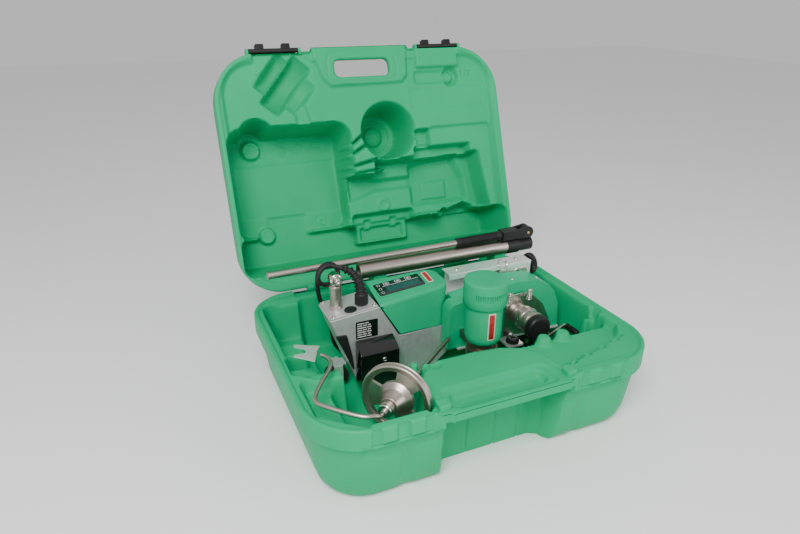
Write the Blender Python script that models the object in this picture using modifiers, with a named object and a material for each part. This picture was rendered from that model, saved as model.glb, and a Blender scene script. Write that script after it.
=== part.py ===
"""Hot-air membrane welding machine, stored with its guide bar and guide roller in an open carry case.

Lengths are written in millimetres and turned into metres by the shape functions. The frame is +X to the
case's right, +Y towards the case hinge and +Z up. The origin is on the floor, under the middle of the rim.
"""
from math import cos, pi, radians, sin, sqrt

import bmesh
import bpy
from mathutils import Matrix, Vector

MM = 0.001
GAP = 0.3

# Case
CASE_LEFT = -294.0
CASE_RIGHT = 300.0
CASE_HALF_DEPTH = 223.4
RIM_Z = 142.0
RIM_BAND = 34.0
RIM_STEP = 7.5
FRONT_CORNER = 92.0
BACK_CORNER = 76.0
CORNER_STEPS = 5
WALL = 4.0
LID_Z = RIM_Z + GAP
LID_HEIGHT = 130.0
LID_OPEN = radians(110.0)
HINGE = Vector((0.0, 224.0, RIM_Z + GAP / 2))
HINGE_X = 150.0
KNUCKLE_RADIUS = 7.0
HINGE_PIN_RADIUS = 2.5
HANDLE_THICKNESS = 18.0
HANDLE_PROUD = 7.0
LATCH_X = 172.0
LATCH_HALF_WIDTH = 47.0
HOOK_OFFSET = 22.0
HOOK_SEAT_Y = -213.5
WELL_FLOOR = 24.0

# Machine
FRONT_Y = 30.0
BACK_Y = 98.0
SHELL = 3.0
BLOWER = Vector((44.0, -63.0, 0.0))
POST = Vector((-170.0, 65.0, 173.0))
LIFT_MOTOR = Vector((157.0, 0.0, 130.0))
DRIVE_AXIS = Vector((196.0, 0.0, 50.5))
CRANK_AXIS = Vector((232.0, 0.0, 66.0))
CRANK_PIN = Vector((268.0, 0.0, 81.0))
GEAR_TEETH = 23
PINION_TEETH = 21
GEAR_MODULE = 2.0

# Guide bar
BAR_Y = 149.0
BIG_TUBE_Z = 194.5
BIG_TUBE_RADIUS = 15.0
SMALL_TUBE_RADIUS = 6.5
FOLD_PIN = Vector((266.0, BAR_Y, 221.5))

# Guide roller
ROLLER_CENTRE = Vector((-160.0, -165.0, 137.0))
ROLLER_HEADING = radians(42.0)
ROLLER_TILT = radians(-5.0)
ROLLER_RADIUS = 54.5

# Mains cord
CORD_RADIUS = 4.0
COIL_CENTRE = Vector((-95.0, 120.0, 85.0))
COIL_INNER = 28.0
COIL_OUTER = 60.0
COIL_HALF_WIDTH = 12.4

GREEN = (0.0, 0.42, 0.20, 1.0)
DARK_GREEN = (0.0, 0.36, 0.19, 1.0)
BLACK = (0.02, 0.02, 0.02, 1.0)
STEEL = (0.62, 0.58, 0.53, 1.0)
ALUMINIUM = (0.66, 0.67, 0.68, 1.0)
BRASS = (0.60, 0.42, 0.16, 1.0)
BOARD_GREEN = (0.02, 0.18, 0.08, 1.0)
CERAMIC = (0.80, 0.78, 0.72, 1.0)


# ---------------------------------------------------------------- scene and material helpers

def clear_scene():
    for old in list(bpy.data.objects):
        bpy.data.objects.remove(old, do_unlink=True)


def collection(name):
    made = bpy.data.collections.new(name)
    bpy.context.scene.collection.children.link(made)
    return made


clear_scene()
PARTS = collection("membrane_welder_in_case")
CUTTERS = collection("cutters")


def material(name, colour, roughness, metallic=0.0):
    made = bpy.data.materials.get(name) or bpy.data.materials.new(name)
    made.use_nodes = True
    shader = made.node_tree.nodes["Principled BSDF"]
    shader.inputs["Base Color"].default_value = colour
    shader.inputs["Roughness"].default_value = roughness
    shader.inputs["Metallic"].default_value = metallic
    return made


def place(obj, name, colour, roughness=0.5, metallic=0.0):
    """Put a finished piece in the parts collection under its name, with its material."""
    obj.name = name
    obj.data.name = name
    obj.data.materials.append(material(name, colour, roughness, metallic))
    PARTS.objects.link(obj)
    return obj


def object_from_bmesh(name, bm, origin=None):
    """Object from a mesh drawn in millimetres; origin is where its pivot lies, in millimetres."""
    origin = Vector(origin) if origin is not None else Vector((0, 0, 0))
    bmesh.ops.recalc_face_normals(bm, faces=bm.faces)
    bmesh.ops.translate(bm, verts=bm.verts, vec=-origin)
    bmesh.ops.scale(bm, verts=bm.verts, vec=(MM, MM, MM))
    mesh = bpy.data.meshes.new(name)
    bm.to_mesh(mesh)
    bm.free()
    mesh.shade_smooth()
    mesh.set_sharp_from_angle(angle=radians(35))
    obj = bpy.data.objects.new(name, mesh)
    obj.matrix_world = Matrix.Translation(origin * MM)
    return obj


def as_cutter(obj):
    if obj.name not in CUTTERS.objects:
        CUTTERS.objects.link(obj)
    obj.hide_render = True
    obj.display_type = "WIRE"
    return obj


def boolean(obj, other, operation="DIFFERENCE"):
    as_cutter(other)
    step = obj.modifiers.new(operation.lower(), "BOOLEAN")
    step.operation = operation
    step.solver = "EXACT"
    step.object = other
    return obj


def subtract(obj, *others):
    for other in others:
        boolean(obj, other)
    return obj


def join(obj, *others):
    for other in others:
        boolean(obj, other, "UNION")
    return obj


# ---------------------------------------------------------------- shape helpers

def turn_to(axis):
    """Rotation that takes +Z to the given direction."""
    return Vector((0, 0, 1)).rotation_difference(Vector(axis).normalized()).to_matrix().to_4x4()


def box(x, y, z, name="box", bevel=0.0):
    """Box between the (low, high) pairs x, y and z."""
    bm = bmesh.new()
    bmesh.ops.create_cube(bm, size=1.0)
    size = (x[1] - x[0], y[1] - y[0], z[1] - z[0])
    bmesh.ops.scale(bm, verts=bm.verts, vec=size)
    bmesh.ops.translate(bm, verts=bm.verts, vec=((x[0] + x[1]) / 2, (y[0] + y[1]) / 2, (z[0] + z[1]) / 2))
    if bevel:
        bmesh.ops.bevel(bm, geom=list(bm.edges), offset=bevel, segments=1, affect="EDGES")
    return object_from_bmesh(name, bm)


def rod(start, end, radius, end_radius=None, sides=20, name="rod", origin=None):
    """Cylinder or cone between two points."""
    start, end = Vector(start), Vector(end)
    bm = bmesh.new()
    bmesh.ops.create_cone(bm, cap_ends=True, segments=sides, radius1=radius,
                          radius2=radius if end_radius is None else end_radius, depth=(end - start).length)
    matrix = Matrix.Translation((start + end) / 2) @ turn_to(end - start)
    bmesh.ops.transform(bm, matrix=matrix, verts=bm.verts)
    return object_from_bmesh(name, bm, origin)


def pipe(start, end, radius, bore, sides=20, name="pipe", origin=None):
    """Tube with a through bore: a closed profile turned about the line from start to end."""
    length = (Vector(end) - Vector(start)).length
    return turned([(bore, length), (radius, length), (radius, 0.0), (bore, 0.0), (bore, length)],
                  start, Vector(end) - Vector(start), sides, name)


def turned(profile, base, axis=(0, 0, 1), sides=24, name="turned"):
    """Solid of revolution. profile is (radius, height) pairs down the outer side, top to bottom."""
    closed = profile[0] == profile[-1]
    points = profile[:-1] if closed else profile
    bm = bmesh.new()
    verts = [bm.verts.new((r * MM, 0.0, h * MM)) for r, h in points]
    for a, b in zip(verts, verts[1:]):
        bm.edges.new((a, b))
    if closed:
        bm.edges.new((verts[-1], verts[0]))
    mesh = bpy.data.meshes.new(name)
    bm.to_mesh(mesh)
    bm.free()
    obj = bpy.data.objects.new(name, mesh)
    screw = obj.modifiers.new("turn", "SCREW")
    screw.steps = sides
    screw.render_steps = sides
    screw.use_merge_vertices = True
    screw.merge_threshold = 0.00001
    screw.use_smooth_shade = True
    obj.matrix_world = Matrix.Translation(Vector(base) * MM) @ turn_to(axis)
    return obj


def solid_copy(obj):
    """Mesh object of the evaluated shape, with its curve caps or screw seams welded, replacing the source."""
    link_here = not obj.users_collection
    if link_here:
        CUTTERS.objects.link(obj)
    bpy.context.view_layer.update()
    graph = bpy.context.evaluated_depsgraph_get()
    mesh = bpy.data.meshes.new_from_object(obj.evaluated_get(graph))
    bm = bmesh.new()
    bm.from_mesh(mesh)
    bmesh.ops.remove_doubles(bm, verts=bm.verts, dist=0.000005)
    bmesh.ops.recalc_face_normals(bm, faces=bm.faces)
    bm.to_mesh(mesh)
    bm.free()
    mesh.shade_smooth()
    mesh.set_sharp_from_angle(angle=radians(35))
    made = bpy.data.objects.new(obj.name + "_solid", mesh)
    made.matrix_world = obj.matrix_world
    bpy.data.objects.remove(obj)
    return made


def arc(centre, radius, start, end, steps):
    """Points on an arc in degrees, both ends included."""
    return [(centre[0] + radius * cos(radians(start + (end - start) * i / steps)),
             centre[1] + radius * sin(radians(start + (end - start) * i / steps))) for i in range(steps + 1)]


def prism(outline, low, high, axis="Z", name="prism"):
    """Flat outline with thickness: (x, z) for axis Y, (y, z) for axis X and (x, y) for axis Z."""
    curve = bpy.data.curves.new(name, "CURVE")
    curve.dimensions = "2D"
    curve.fill_mode = "BOTH"
    curve.extrude = (high - low) / 2 * MM
    spline = curve.splines.new("POLY")
    spline.points.add(len(outline) - 1)
    for point, (u, v) in zip(spline.points, outline):
        point.co = (u * MM, v * MM, 0.0, 1.0)
    spline.use_cyclic_u = True
    obj = bpy.data.objects.new(name, curve)
    middle = (low + high) / 2 * MM
    turns = {"Z": Matrix.Translation((0, 0, middle)),
             "Y": Matrix(((1, 0, 0, 0), (0, 0, -1, middle), (0, 1, 0, 0), (0, 0, 0, 1))),
             "X": Matrix(((0, 0, 1, middle), (1, 0, 0, 0), (0, 1, 0, 0), (0, 0, 0, 1)))}
    obj.matrix_world = turns[axis]
    return solid_copy(obj)


def wire(points, radius, name="wire", resolution=2, radii=None):
    """Round wire or tube along points, with flat ends; radii scales it point by point."""
    curve = bpy.data.curves.new(name, "CURVE")
    curve.dimensions = "3D"
    curve.bevel_depth = radius * MM
    curve.bevel_resolution = resolution
    curve.use_fill_caps = True
    spline = curve.splines.new("POLY")
    spline.points.add(len(points) - 1)
    for i, (point, co) in enumerate(zip(spline.points, points)):
        point.co = (co[0] * MM, co[1] * MM, co[2] * MM, 1.0)
        point.radius = radii[i] if radii else 1.0
    return solid_copy(bpy.data.objects.new(name, curve))


def smooth_route(knots, spacing):
    """Points about spacing apart on a Catmull-Rom curve through the knots."""
    knots = [Vector(k) for k in knots]
    ends = [2 * knots[0] - knots[1]] + knots + [2 * knots[-1] - knots[-2]]
    points = [knots[0]]
    for i in range(1, len(ends) - 2):
        a, b, c, d = ends[i - 1:i + 3]
        steps = max(2, round((c - b).length / spacing))
        for step in range(1, steps + 1):
            t = step / steps
            points.append(0.5 * (2 * b + (c - a) * t + (2 * a - 5 * b + 4 * c - d) * t ** 2
                                 + (3 * b - 3 * c + d - a) * t ** 3))
    return points


def loft(rings, name="loft", origin=None):
    """Closed solid through rings that all have the same number of points."""
    bm = bmesh.new()
    made = [[bm.verts.new(p) for p in ring] for ring in rings]
    for low, high in zip(made, made[1:]):
        for i in range(len(low)):
            j = (i + 1) % len(low)
            bm.faces.new((low[i], low[j], high[j], high[i]))
    bm.faces.new(made[0])
    bm.faces.new(made[-1])
    return object_from_bmesh(name, bm, origin)


def round_rect(x, y, corners, inset=0.0, steps=CORNER_STEPS):
    """Rounded rectangle; corners are the radii (front, back)."""
    x0, x1 = x[0] + inset, x[1] - inset
    y0, y1 = y[0] + inset, y[1] - inset
    limit = min(x1 - x0, y1 - y0) / 2 - 0.5
    front = min(max(corners[0] - inset, 2.0), limit)
    back = min(max(corners[1] - inset, 2.0), limit)
    return (arc((x1 - front, y0 + front), front, -90, 0, steps) + arc((x1 - back, y1 - back), back, 0, 90,
                                                                      steps)
            + arc((x0 + back, y1 - back), back, 90, 180, steps)
            + arc((x0 + front, y0 + front), front, 180, 270, steps))


def drafted(x, y, z, corner, draft=0.06, grow=0.0, steps=3, name="pocket"):
    """Rounded pocket, open end at z[1], narrower at z[0] by the draft, and grown all round for its skin."""
    sides_x = (x[0] - grow, x[1] + grow)
    sides_y = (y[0] - grow, y[1] + grow)
    direction = 1.0 if z[1] > z[0] else -1.0
    floor = z[0] - direction * grow
    inset = abs(z[1] - z[0]) * draft
    rings = []
    for level, shrink in ((floor, inset), (z[1], 0.0)):
        outline = round_rect(sides_x, sides_y, (corner + grow, corner + grow), shrink, steps)
        rings.append([(px, py, level) for px, py in outline])
    return loft(rings, name)


# ---------------------------------------------------------------- case

BASE_LEVELS = ((0.0, 40.0), (4.0, 30.0), (14.0, 23.0), (30.0, 18.0), (RIM_Z - RIM_BAND - 1.0, RIM_STEP + 1.5),
               (RIM_Z - RIM_BAND, 0.0), (RIM_Z, 0.0))
LID_LEVELS = ((0.0, 0.0), (RIM_BAND, 0.0), (RIM_BAND + 1.0, 5.0), (96.0, 7.5), (112.0, 11.0), (124.0, 20.0),
              (LID_HEIGHT, 36.0))

# Pockets of the base tray: x range, y range, floor height, corner radius
BASE_POCKETS = (
    ((-204.0, 279.0), (-97.0, 200.0), WELL_FLOOR, 14.0),
    ((-272.0, -190.0), (-118.0, 190.0), 62.0, 20.0),
    ((-240.0, -86.0), (-206.0, -80.0), 68.0, 24.0),
    ((-274.0, -140.0), (-205.0, -96.0), 116.0, 44.0),
    ((-120.0, 12.0), (-150.0, -86.0), 104.0, 12.0),
    ((6.0, 281.0), (-138.0, -83.0), 124.0, 12.0),
    ((-277.0, 283.0), (-82.0, 204.0), RIM_Z - 8.0, 60.0),
)

BASE_DRAFT = 0.035

# Pockets of the lid, in the closed position: x range, distance from the hinge line, depth, corner radius
LID_POCKETS = (
    ((-282.0, 288.0), (14.0, 378.0), 12.0, 60.0),
    ((-280.0, -108.0), (300.0, 433.0), 13.0, 60.0),
    ((112.0, 286.5), (302.0, 434.0), 12.6, 60.0),
    ((-280.0, -46.0), (98.0, 312.0), 108.0, 30.0),
    ((-285.0, 288.0), (34.0, 134.0), 114.0, 20.0),
    ((-64.0, 262.0), (120.0, 236.0), 82.0, 16.0),
    ((108.0, 262.0), (226.0, 292.0), 60.0, 16.0),
)


def shell_outline(inset):
    return round_rect((CASE_LEFT, CASE_RIGHT), (-CASE_HALF_DEPTH, CASE_HALF_DEPTH),
                      (FRONT_CORNER, BACK_CORNER), inset)


def shell_solid(levels, base_z, skin=0.0, name="shell"):
    """Outer form of a case half, or with a skin the hollow inside it."""
    rings = []
    for level, inset in levels:
        if skin:
            inset = max(inset, RIM_STEP) + skin
        height = min(max(level, skin), levels[-1][0] - skin)
        rings.append([(x, y, base_z + height) for x, y in shell_outline(inset)])
    unique = [rings[0]] + [b for a, b in zip(rings, rings[1:]) if b[0] != a[0]]
    return loft(unique, name)


def handle_notch(low, high, grow=0.0):
    """Finger space behind the carrying handle of one case half."""
    outline = [(-116.0 - grow, -240.0), (-92.0 - grow, -172.0 + grow), (-78.0, -164.0 + grow),
               (78.0, -164.0 + grow), (92.0 + grow, -172.0 + grow), (116.0 + grow, -240.0)]
    return prism(outline, low, high, "Z", "handle_notch")


def handle_bar(low, high):
    """Front bar of the carrying handle, proud of the rim."""
    return box((-101.0, 101.0), (-CASE_HALF_DEPTH - HANDLE_PROUD, -CASE_HALF_DEPTH + 8.0), (low, high),
               bevel=2.5)


def roller_axis(distance):
    heading = Vector((cos(ROLLER_TILT) * cos(ROLLER_HEADING), cos(ROLLER_TILT) * sin(ROLLER_HEADING),
                      sin(ROLLER_TILT)))
    return ROLLER_CENTRE + heading * distance


def knuckle(low, high, radius):
    return rod((low, HINGE.y, HINGE.z), (high, HINGE.y, HINGE.z), radius, sides=16, name="knuckle")


def hinge_spans(side):
    """The x ranges of one hinge: base knuckle, then the lid's two."""
    x = side * HINGE_X
    return (x - 14.0, x + 14.0), ((x - 27.0, x - 14.0 - GAP), (x + 14.0 + GAP, x + 27.0))


def tube_saddle(x):
    """Tower that carries the guide bar's large tube."""
    tower = drafted((x - 14.0, x + 14.0), (BAR_Y - 10.0, BAR_Y + 24.0), (BIG_TUBE_Z - 6.0, 10.0), 6.0, 0.03,
                    name="saddle")
    groove = rod((x - 30.0, BAR_Y, BIG_TUBE_Z), (x + 30.0, BAR_Y, BIG_TUBE_Z), BIG_TUBE_RADIUS + 0.5,
                 sides=20)
    return subtract(tower, groove)


def make_case_base():
    base = shell_solid(BASE_LEVELS, 0.0, name="case_base")
    hollow = shell_solid(BASE_LEVELS, 0.0, WALL, name="base_hollow")
    for x, y, floor, corner in BASE_POCKETS:
        subtract(hollow, drafted(x, y, (floor, RIM_Z + 20.0), corner, BASE_DRAFT, WALL))
        subtract(base, drafted(x, y, (floor, RIM_Z + 20.0), corner, BASE_DRAFT))
    notch_top = RIM_Z - HANDLE_THICKNESS
    subtract(hollow, handle_notch(-10.0, notch_top + WALL, WALL))
    subtract(base, handle_notch(-10.0, notch_top))
    join(base, handle_bar(notch_top - 0.7, RIM_Z - 0.4))
    roller_room = rod(roller_axis(-12.0), roller_axis(22.0), ROLLER_RADIUS + 3.0, sides=24)
    roller_skin = rod(roller_axis(-16.0), roller_axis(26.0), ROLLER_RADIUS + 7.0, sides=24)
    subtract(hollow, roller_skin)
    subtract(base, roller_room)
    for x in (-58.0, 204.0):
        join(base, tube_saddle(x))
    vent = rod((0.0, 60.0, -5.0), (0.0, 60.0, 10.0), 4.0, sides=10)
    subtract(base, hollow, vent)
    dish = drafted((-94.0, 84.0), (-211.0, -177.0), (RIM_Z - 10.0, RIM_Z + 5.0), 14.0, 0.3)
    subtract(base, dish)
    for side in (-1, 1):
        base_span, lid_spans = hinge_spans(side)
        join(base, knuckle(*base_span, KNUCKLE_RADIUS))
        for low, high in lid_spans:
            subtract(base, knuckle(low - GAP, high + GAP, KNUCKLE_RADIUS + 0.5))
        x = side * HINGE_X
        subtract(base, knuckle(x - 40.0, x + 40.0, HINGE_PIN_RADIUS + 0.05))
        ridge = box((side * LATCH_X - 40.0, side * LATCH_X + 40.0),
                    (-CASE_HALF_DEPTH - 4.0, -CASE_HALF_DEPTH + 2.0),
                    (RIM_Z - 15.0, RIM_Z - 10.0), bevel=0.8)
        join(base, ridge)
        lug = box((side * 108.0 - 9.0, side * 108.0 + 9.0), (-CASE_HALF_DEPTH + 0.6, -CASE_HALF_DEPTH + 22.0),
                  (RIM_Z - 8.0, RIM_Z + 7.0), bevel=1.5)
        join(base, lug)
    return place(base, "case_base", GREEN, 0.45)


def in_lid(x, distance, depth):
    """Point of the closed lid from its distance to the hinge line and its depth above the rim."""
    return Vector((x, CASE_HALF_DEPTH - distance, LID_Z + depth))


def lid_pocket(x, distance, depth, corner, grow=0.0):
    y = (CASE_HALF_DEPTH - distance[1], CASE_HALF_DEPTH - distance[0])
    return drafted(x, y, (LID_Z + depth, LID_Z - 5.0), corner, grow=grow)


def make_case_lid():
    lid = shell_solid(LID_LEVELS, LID_Z, name="case_lid")
    hollow = shell_solid(LID_LEVELS, LID_Z, WALL, name="lid_hollow")
    for pocket in LID_POCKETS:
        subtract(hollow, lid_pocket(*pocket, grow=WALL))
        subtract(lid, lid_pocket(*pocket))
    cup_top = in_lid(BLOWER.x, CASE_HALF_DEPTH - BLOWER.y, 0.0)
    for radius, depth, cone in ((58.0, 50.0, 52.0), (51.0, 103.5, 43.0), (30.0, 113.0, 29.0)):
        for target, skin in ((hollow, WALL), (lid, 0.0)):
            start = cup_top - Vector((0, 0, 6.0))
            end = cup_top + Vector((0, 0, depth + skin))
            subtract(target, rod(start, end, radius + skin, cone + skin, sides=22))
    for target, skin in ((hollow, WALL), (lid, 0.0)):
        subtract(target, rod(roller_axis(-14.0 - skin), roller_axis(24.0 + skin), 60.0 + skin, sides=22))
        subtract(target, rod(roller_axis(-46.0 - skin), roller_axis(60.0 + skin), 30.0 + skin, sides=16))
    notch_low = LID_Z + HANDLE_THICKNESS
    subtract(hollow, handle_notch(notch_low - WALL, LID_Z + 200.0, WALL))
    subtract(lid, handle_notch(notch_low, LID_Z + 200.0))
    join(lid, handle_bar(LID_Z + 0.4, notch_low + 0.7))
    for side in (-1, 1):
        for end in (-1, 1):
            x = latch_pivot(side).x + end * (LATCH_HALF_WIDTH - HOOK_OFFSET)
            subtract(hollow, box((x - 13.0, x + 13.0), (-240.0, HOOK_SEAT_Y + WALL),
                                 (LID_Z - 5.0, LID_Z + 20.0)))
    hole = drafted((-58.0, 58.0), (CASE_HALF_DEPTH - 430.0, CASE_HALF_DEPTH - 396.0),
                   (LID_Z - 5.0, LID_Z + 140.0),
                   12.0, 0.0, name="handle_hole")
    skin = drafted((-58.0, 58.0), (CASE_HALF_DEPTH - 430.0, CASE_HALF_DEPTH - 396.0),
                   (LID_Z - 5.0, LID_Z + 140.0),
                   12.0, 0.0, WALL)
    subtract(hollow, skin)
    vent = rod((0.0, 60.0, LID_Z + LID_HEIGHT - 10.0), (0.0, 60.0, LID_Z + LID_HEIGHT + 5.0), 4.0, sides=10)
    subtract(lid, hollow, vent, hole)
    for side in (-1, 1):
        base_span, lid_spans = hinge_spans(side)
        for low, high in lid_spans:
            join(lid, knuckle(low, high, KNUCKLE_RADIUS))
        subtract(lid, knuckle(base_span[0] - GAP, base_span[1] + GAP, KNUCKLE_RADIUS + 0.5))
        x = side * HINGE_X
        subtract(lid, knuckle(x - 40.0, x + 40.0, HINGE_PIN_RADIUS + 0.05))
        subtract(lid, box((side * 108.0 - 10.0, side * 108.0 + 10.0), (-240.0, -CASE_HALF_DEPTH + 23.0),
                          (RIM_Z - 8.0, RIM_Z + 8.0)))
        for end in (-1, 1):
            inner = side * LATCH_X + end * (LATCH_HALF_WIDTH + GAP)
            ear = box(sorted((inner, inner + end * 5.0)), (-CASE_HALF_DEPTH - 9.0, -CASE_HALF_DEPTH + 4.0),
                      (LID_Z + 5.0, LID_Z + 17.0), bevel=1.0)
            join(lid, ear)
        pivot = latch_pivot(side)
        reach = Vector((LATCH_HALF_WIDTH + 3.5, 0, 0))
        subtract(lid, rod(pivot - reach, pivot + reach, 2.3, sides=12))
        for end in (-1, 1):
            x = pivot.x + end * (LATCH_HALF_WIDTH - HOOK_OFFSET)
            subtract(lid, box((x - 9.0, x + 9.0), (pivot.y - 10.0, HOOK_SEAT_Y), (LID_Z - 1.0, LID_Z + 16.0)))
    return open_lid(place(lid, "case_lid", GREEN, 0.45))


moved_cutters = set()


def open_lid(obj):
    """Swing a piece drawn on the closed lid to the open position."""
    turn = Matrix.Translation(HINGE * MM) @ Matrix.Rotation(-LID_OPEN, 4,
                                                            "X") @ Matrix.Translation(-HINGE * MM)
    obj.matrix_world = turn @ obj.matrix_world
    for step in obj.modifiers:
        if step.type == "BOOLEAN" and step.object not in moved_cutters:
            moved_cutters.add(step.object)
            open_lid(step.object)
    return obj


def latch_pivot(side):
    return Vector((side * LATCH_X, -CASE_HALF_DEPTH - 5.0, LID_Z + 11.0))


def make_latches():
    for side, name in ((-1, "latch_left"), (1, "latch_right")):
        pivot = latch_pivot(side)
        reach = Vector((LATCH_HALF_WIDTH, 0, 0))
        low, high = pivot.x - LATCH_HALF_WIDTH, pivot.x + LATCH_HALF_WIDTH
        latch = rod(pivot - reach, pivot + reach, 4.4, sides=14, name=name, origin=pivot)
        stub = Vector((LATCH_HALF_WIDTH + 3.0, 0, 0))
        join(latch, rod(pivot - stub, pivot + stub, 2.0, sides=12))
        join(latch, box((low + 2.0, high - 2.0), (pivot.y + 0.4, pivot.y + 4.0),
                        (pivot.z - 1.0, pivot.z + 34.0),
                        bevel=1.0))
        join(latch, box((low + 6.0, high - 6.0), (pivot.y - 3.4, pivot.y + 1.5),
                        (pivot.z + 27.2, pivot.z + 32.0)))
        for x in (low + HOOK_OFFSET, high - HOOK_OFFSET):
            join(latch, box((x - 8.0, x + 8.0), (pivot.y - 13.0, pivot.y + 2.0),
                            (pivot.z - 3.0, pivot.z + 9.5),
                            bevel=1.5))
        open_lid(place(latch, name, BLACK, 0.4))


def make_hinge_pins():
    for side, name in ((-1, "hinge_pin_left"), (1, "hinge_pin_right")):
        x = side * HINGE_X
        place(rod((x - 26.0, HINGE.y, HINGE.z), (x + 26.0, HINGE.y, HINGE.z), HINGE_PIN_RADIUS, sides=16),
              name, STEEL, 0.3, 1.0)


# ---------------------------------------------------------------- machine housing

PLATE_SLOPE = 9.0 / 82.0


def plate_top(x):
    """Height of the rear housing's sloping top edge."""
    return 170.0 + (x + 190.0) * PLATE_SLOPE


def make_rear_housing():
    outline = [(-192.0, plate_top(-192.0)), (-144.0, 34.0), (0.0, 34.0), (29.0, 60.0), (29.0, 118.0),
               (-67.0, 116.0), (-104.0, plate_top(-104.0))]
    housing = prism(outline, FRONT_Y, BACK_Y, "Y", "rear_housing")
    inner = [(-187.0, 190.0), (-187.0, 160.0), (-141.0, 38.0), (-2.0, 38.0), (25.0, 62.0), (25.0, 130.0),
             (-69.0, 130.0), (-69.0, 111.0), (-108.5, 172.0), (-110.0, 190.0)]
    room = prism(inner, FRONT_Y + 4.0, BACK_Y - 4.0, "Y", "housing_room")
    subtract(housing, room)
    place(housing, "rear_housing", ALUMINIUM, 0.4, 1.0)


def make_top_plate():
    low, high = -189.5, -106.5
    outline = [(low, plate_top(low) + GAP), (high, plate_top(high) + GAP), (high, plate_top(high) + 3.3),
               (low, plate_top(low) + 3.3)]
    plate = prism(outline, FRONT_Y + 1.0, BACK_Y - 1.0, "Y", "top_plate")
    place(plate, "top_plate", ALUMINIUM, 0.35, 1.0)


def cover_ring(x, low_z, front, back, top_front, top_back, inset, corner=5.0):
    """Section of the control cover in a plane of constant x."""
    y0, y1 = front + inset, back - inset
    z0, z1 = top_front - inset, top_back - inset
    return [(x, y0, low_z), (x, y1, low_z), (x, y1, z1 - corner), (x, y1 - corner, z1),
            (x, y0 + corner, z0), (x, y0, z0 - corner)]


def cover_shape(inset, low_extra, name):
    """The cover runs from the slanting rear edge to the rounded front end."""
    rings = []
    for x, low_z, pinch in ((-103.4 + inset, 181.6, 0.0), (-66.0 + inset, 119.5, 0.0), (6.0, 119.5, 0.0),
                            (20.0, 119.5, 3.0), (27.0 - inset / 2, 119.5, 10.0), (30.0 - inset, 119.5, 20.0)):
        share = (x + 104.0) / 132.0
        top_front = 183.0 + 16.5 * share
        top_back = 197.0 + 3.5 * share
        rings.append(cover_ring(x, low_z - low_extra, 28.5 + pinch, 104.0 - pinch, top_front, top_back,
                                inset))
    return loft(rings, name)


PANEL_CENTRE = Vector((-52.0, 66.5, 194.9))
PANEL_X = Vector((1.0, 0.02, 0.084)).normalized()
PANEL_Z = PANEL_X.cross(Vector((-0.08, 1.0, 0.155)).normalized()).normalized()
PANEL_Y = PANEL_Z.cross(PANEL_X)
PANEL_SIZE = (88.0, 36.0)
BUTTON_SIZE = (6.0, 7.0)
BUTTON_OFFSETS = (-11.0, 0.0, 11.0)


def on_panel(obj):
    """Carry a piece drawn about the panel's centre on to the sloping top of the cover."""
    turn = Matrix((PANEL_X, PANEL_Y, PANEL_Z)).transposed().to_4x4()
    obj.matrix_world = Matrix.Translation(PANEL_CENTRE * MM) @ turn @ obj.matrix_world
    return obj


def panel_block(half_x, half_y, z, corner, name="panel"):
    rings = []
    for level in z:
        rings.append([(x, y, level) for x, y in round_rect((-half_x, half_x), (-half_y, half_y),
                                                           (corner, corner), 0.0, 3)])
    return on_panel(loft(rings, name))


def button_block(offset, grow, z, name="button"):
    x = -PANEL_SIZE[0] / 2 + 8.0
    rings = []
    for level in z:
        rings.append([(px, py, level) for px, py in
                      round_rect((x - BUTTON_SIZE[0] / 2 - grow, x + BUTTON_SIZE[0] / 2 + grow),
                                 (offset - BUTTON_SIZE[1] / 2 - grow, offset + BUTTON_SIZE[1] / 2 + grow),
                                 (1.5, 1.5), 0.0, 2)])
    return on_panel(loft(rings, name))


def make_control_cover():
    cover = cover_shape(0.0, 0.0, "control_cover")
    room = cover_shape(SHELL, 30.0, "cover_room")
    subtract(cover, room)
    ledge = on_panel(box((-48.0, 48.0), (-22.0, 22.0), (-5.0, 0.4)))
    join(cover, ledge)
    subtract(cover, panel_block(PANEL_SIZE[0] / 2 + 0.3, PANEL_SIZE[1] / 2 + 0.3, (-1.6, 12.0), 3.0))
    for offset in BUTTON_OFFSETS:
        subtract(cover, button_block(offset, 0.4, (-8.0, 3.0)))
    place(cover, "control_cover", DARK_GREEN, 0.45)
    panel = panel_block(PANEL_SIZE[0] / 2, PANEL_SIZE[1] / 2, (-1.3, 0.9), 3.0, "display_panel")
    for offset in BUTTON_OFFSETS:
        subtract(panel, button_block(offset, 0.3, (-3.0, 3.0)))
    place(panel, "display_panel", BLACK, 0.15)
    for index, offset in enumerate(BUTTON_OFFSETS):
        place(button_block(offset, 0.0, (-3.0, 1.9)), "button_%d" % (index + 1), BLACK, 0.4)


def make_housing_fittings():
    guard = prism([(0.0, 40.0), (FRONT_Y - GAP, 40.0), (FRONT_Y - GAP, 124.0), (3.0, 112.0), (0.0, 108.0)],
                  -150.0, -80.0, "X", "belt_guard")
    room = prism([(3.0, 43.0), (FRONT_Y + 5.0, 43.0), (FRONT_Y + 5.0, 122.0), (3.0, 108.0)], -147.0, -83.0,
                 "X")
    subtract(guard, room)
    place(guard, "belt_guard", BLACK, 0.1)
    socket = prism([(-184.0, 150.0), (-171.0, 112.0), (-152.0, 60.0), (-153.0, 90.0), (-161.0, 128.0),
                    (-163.0, 152.0)], FRONT_Y - 4.0, FRONT_Y - GAP, "Y", "rear_grip_pad")
    place(socket, "rear_grip_pad", BLACK, 0.4)
    cap_base = Vector((-152.0, 43.0, plate_top(-152.0) + 3.6))
    cap = turned([(0.0, 2.2), (9.0, 2.2), (11.0, 0.0), (0.0, 0.0)], cap_base, (-PLATE_SLOPE, 0, 1), 20,
                 "blind_cap")
    place(cap, "blind_cap", BLACK, 0.3)


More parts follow.
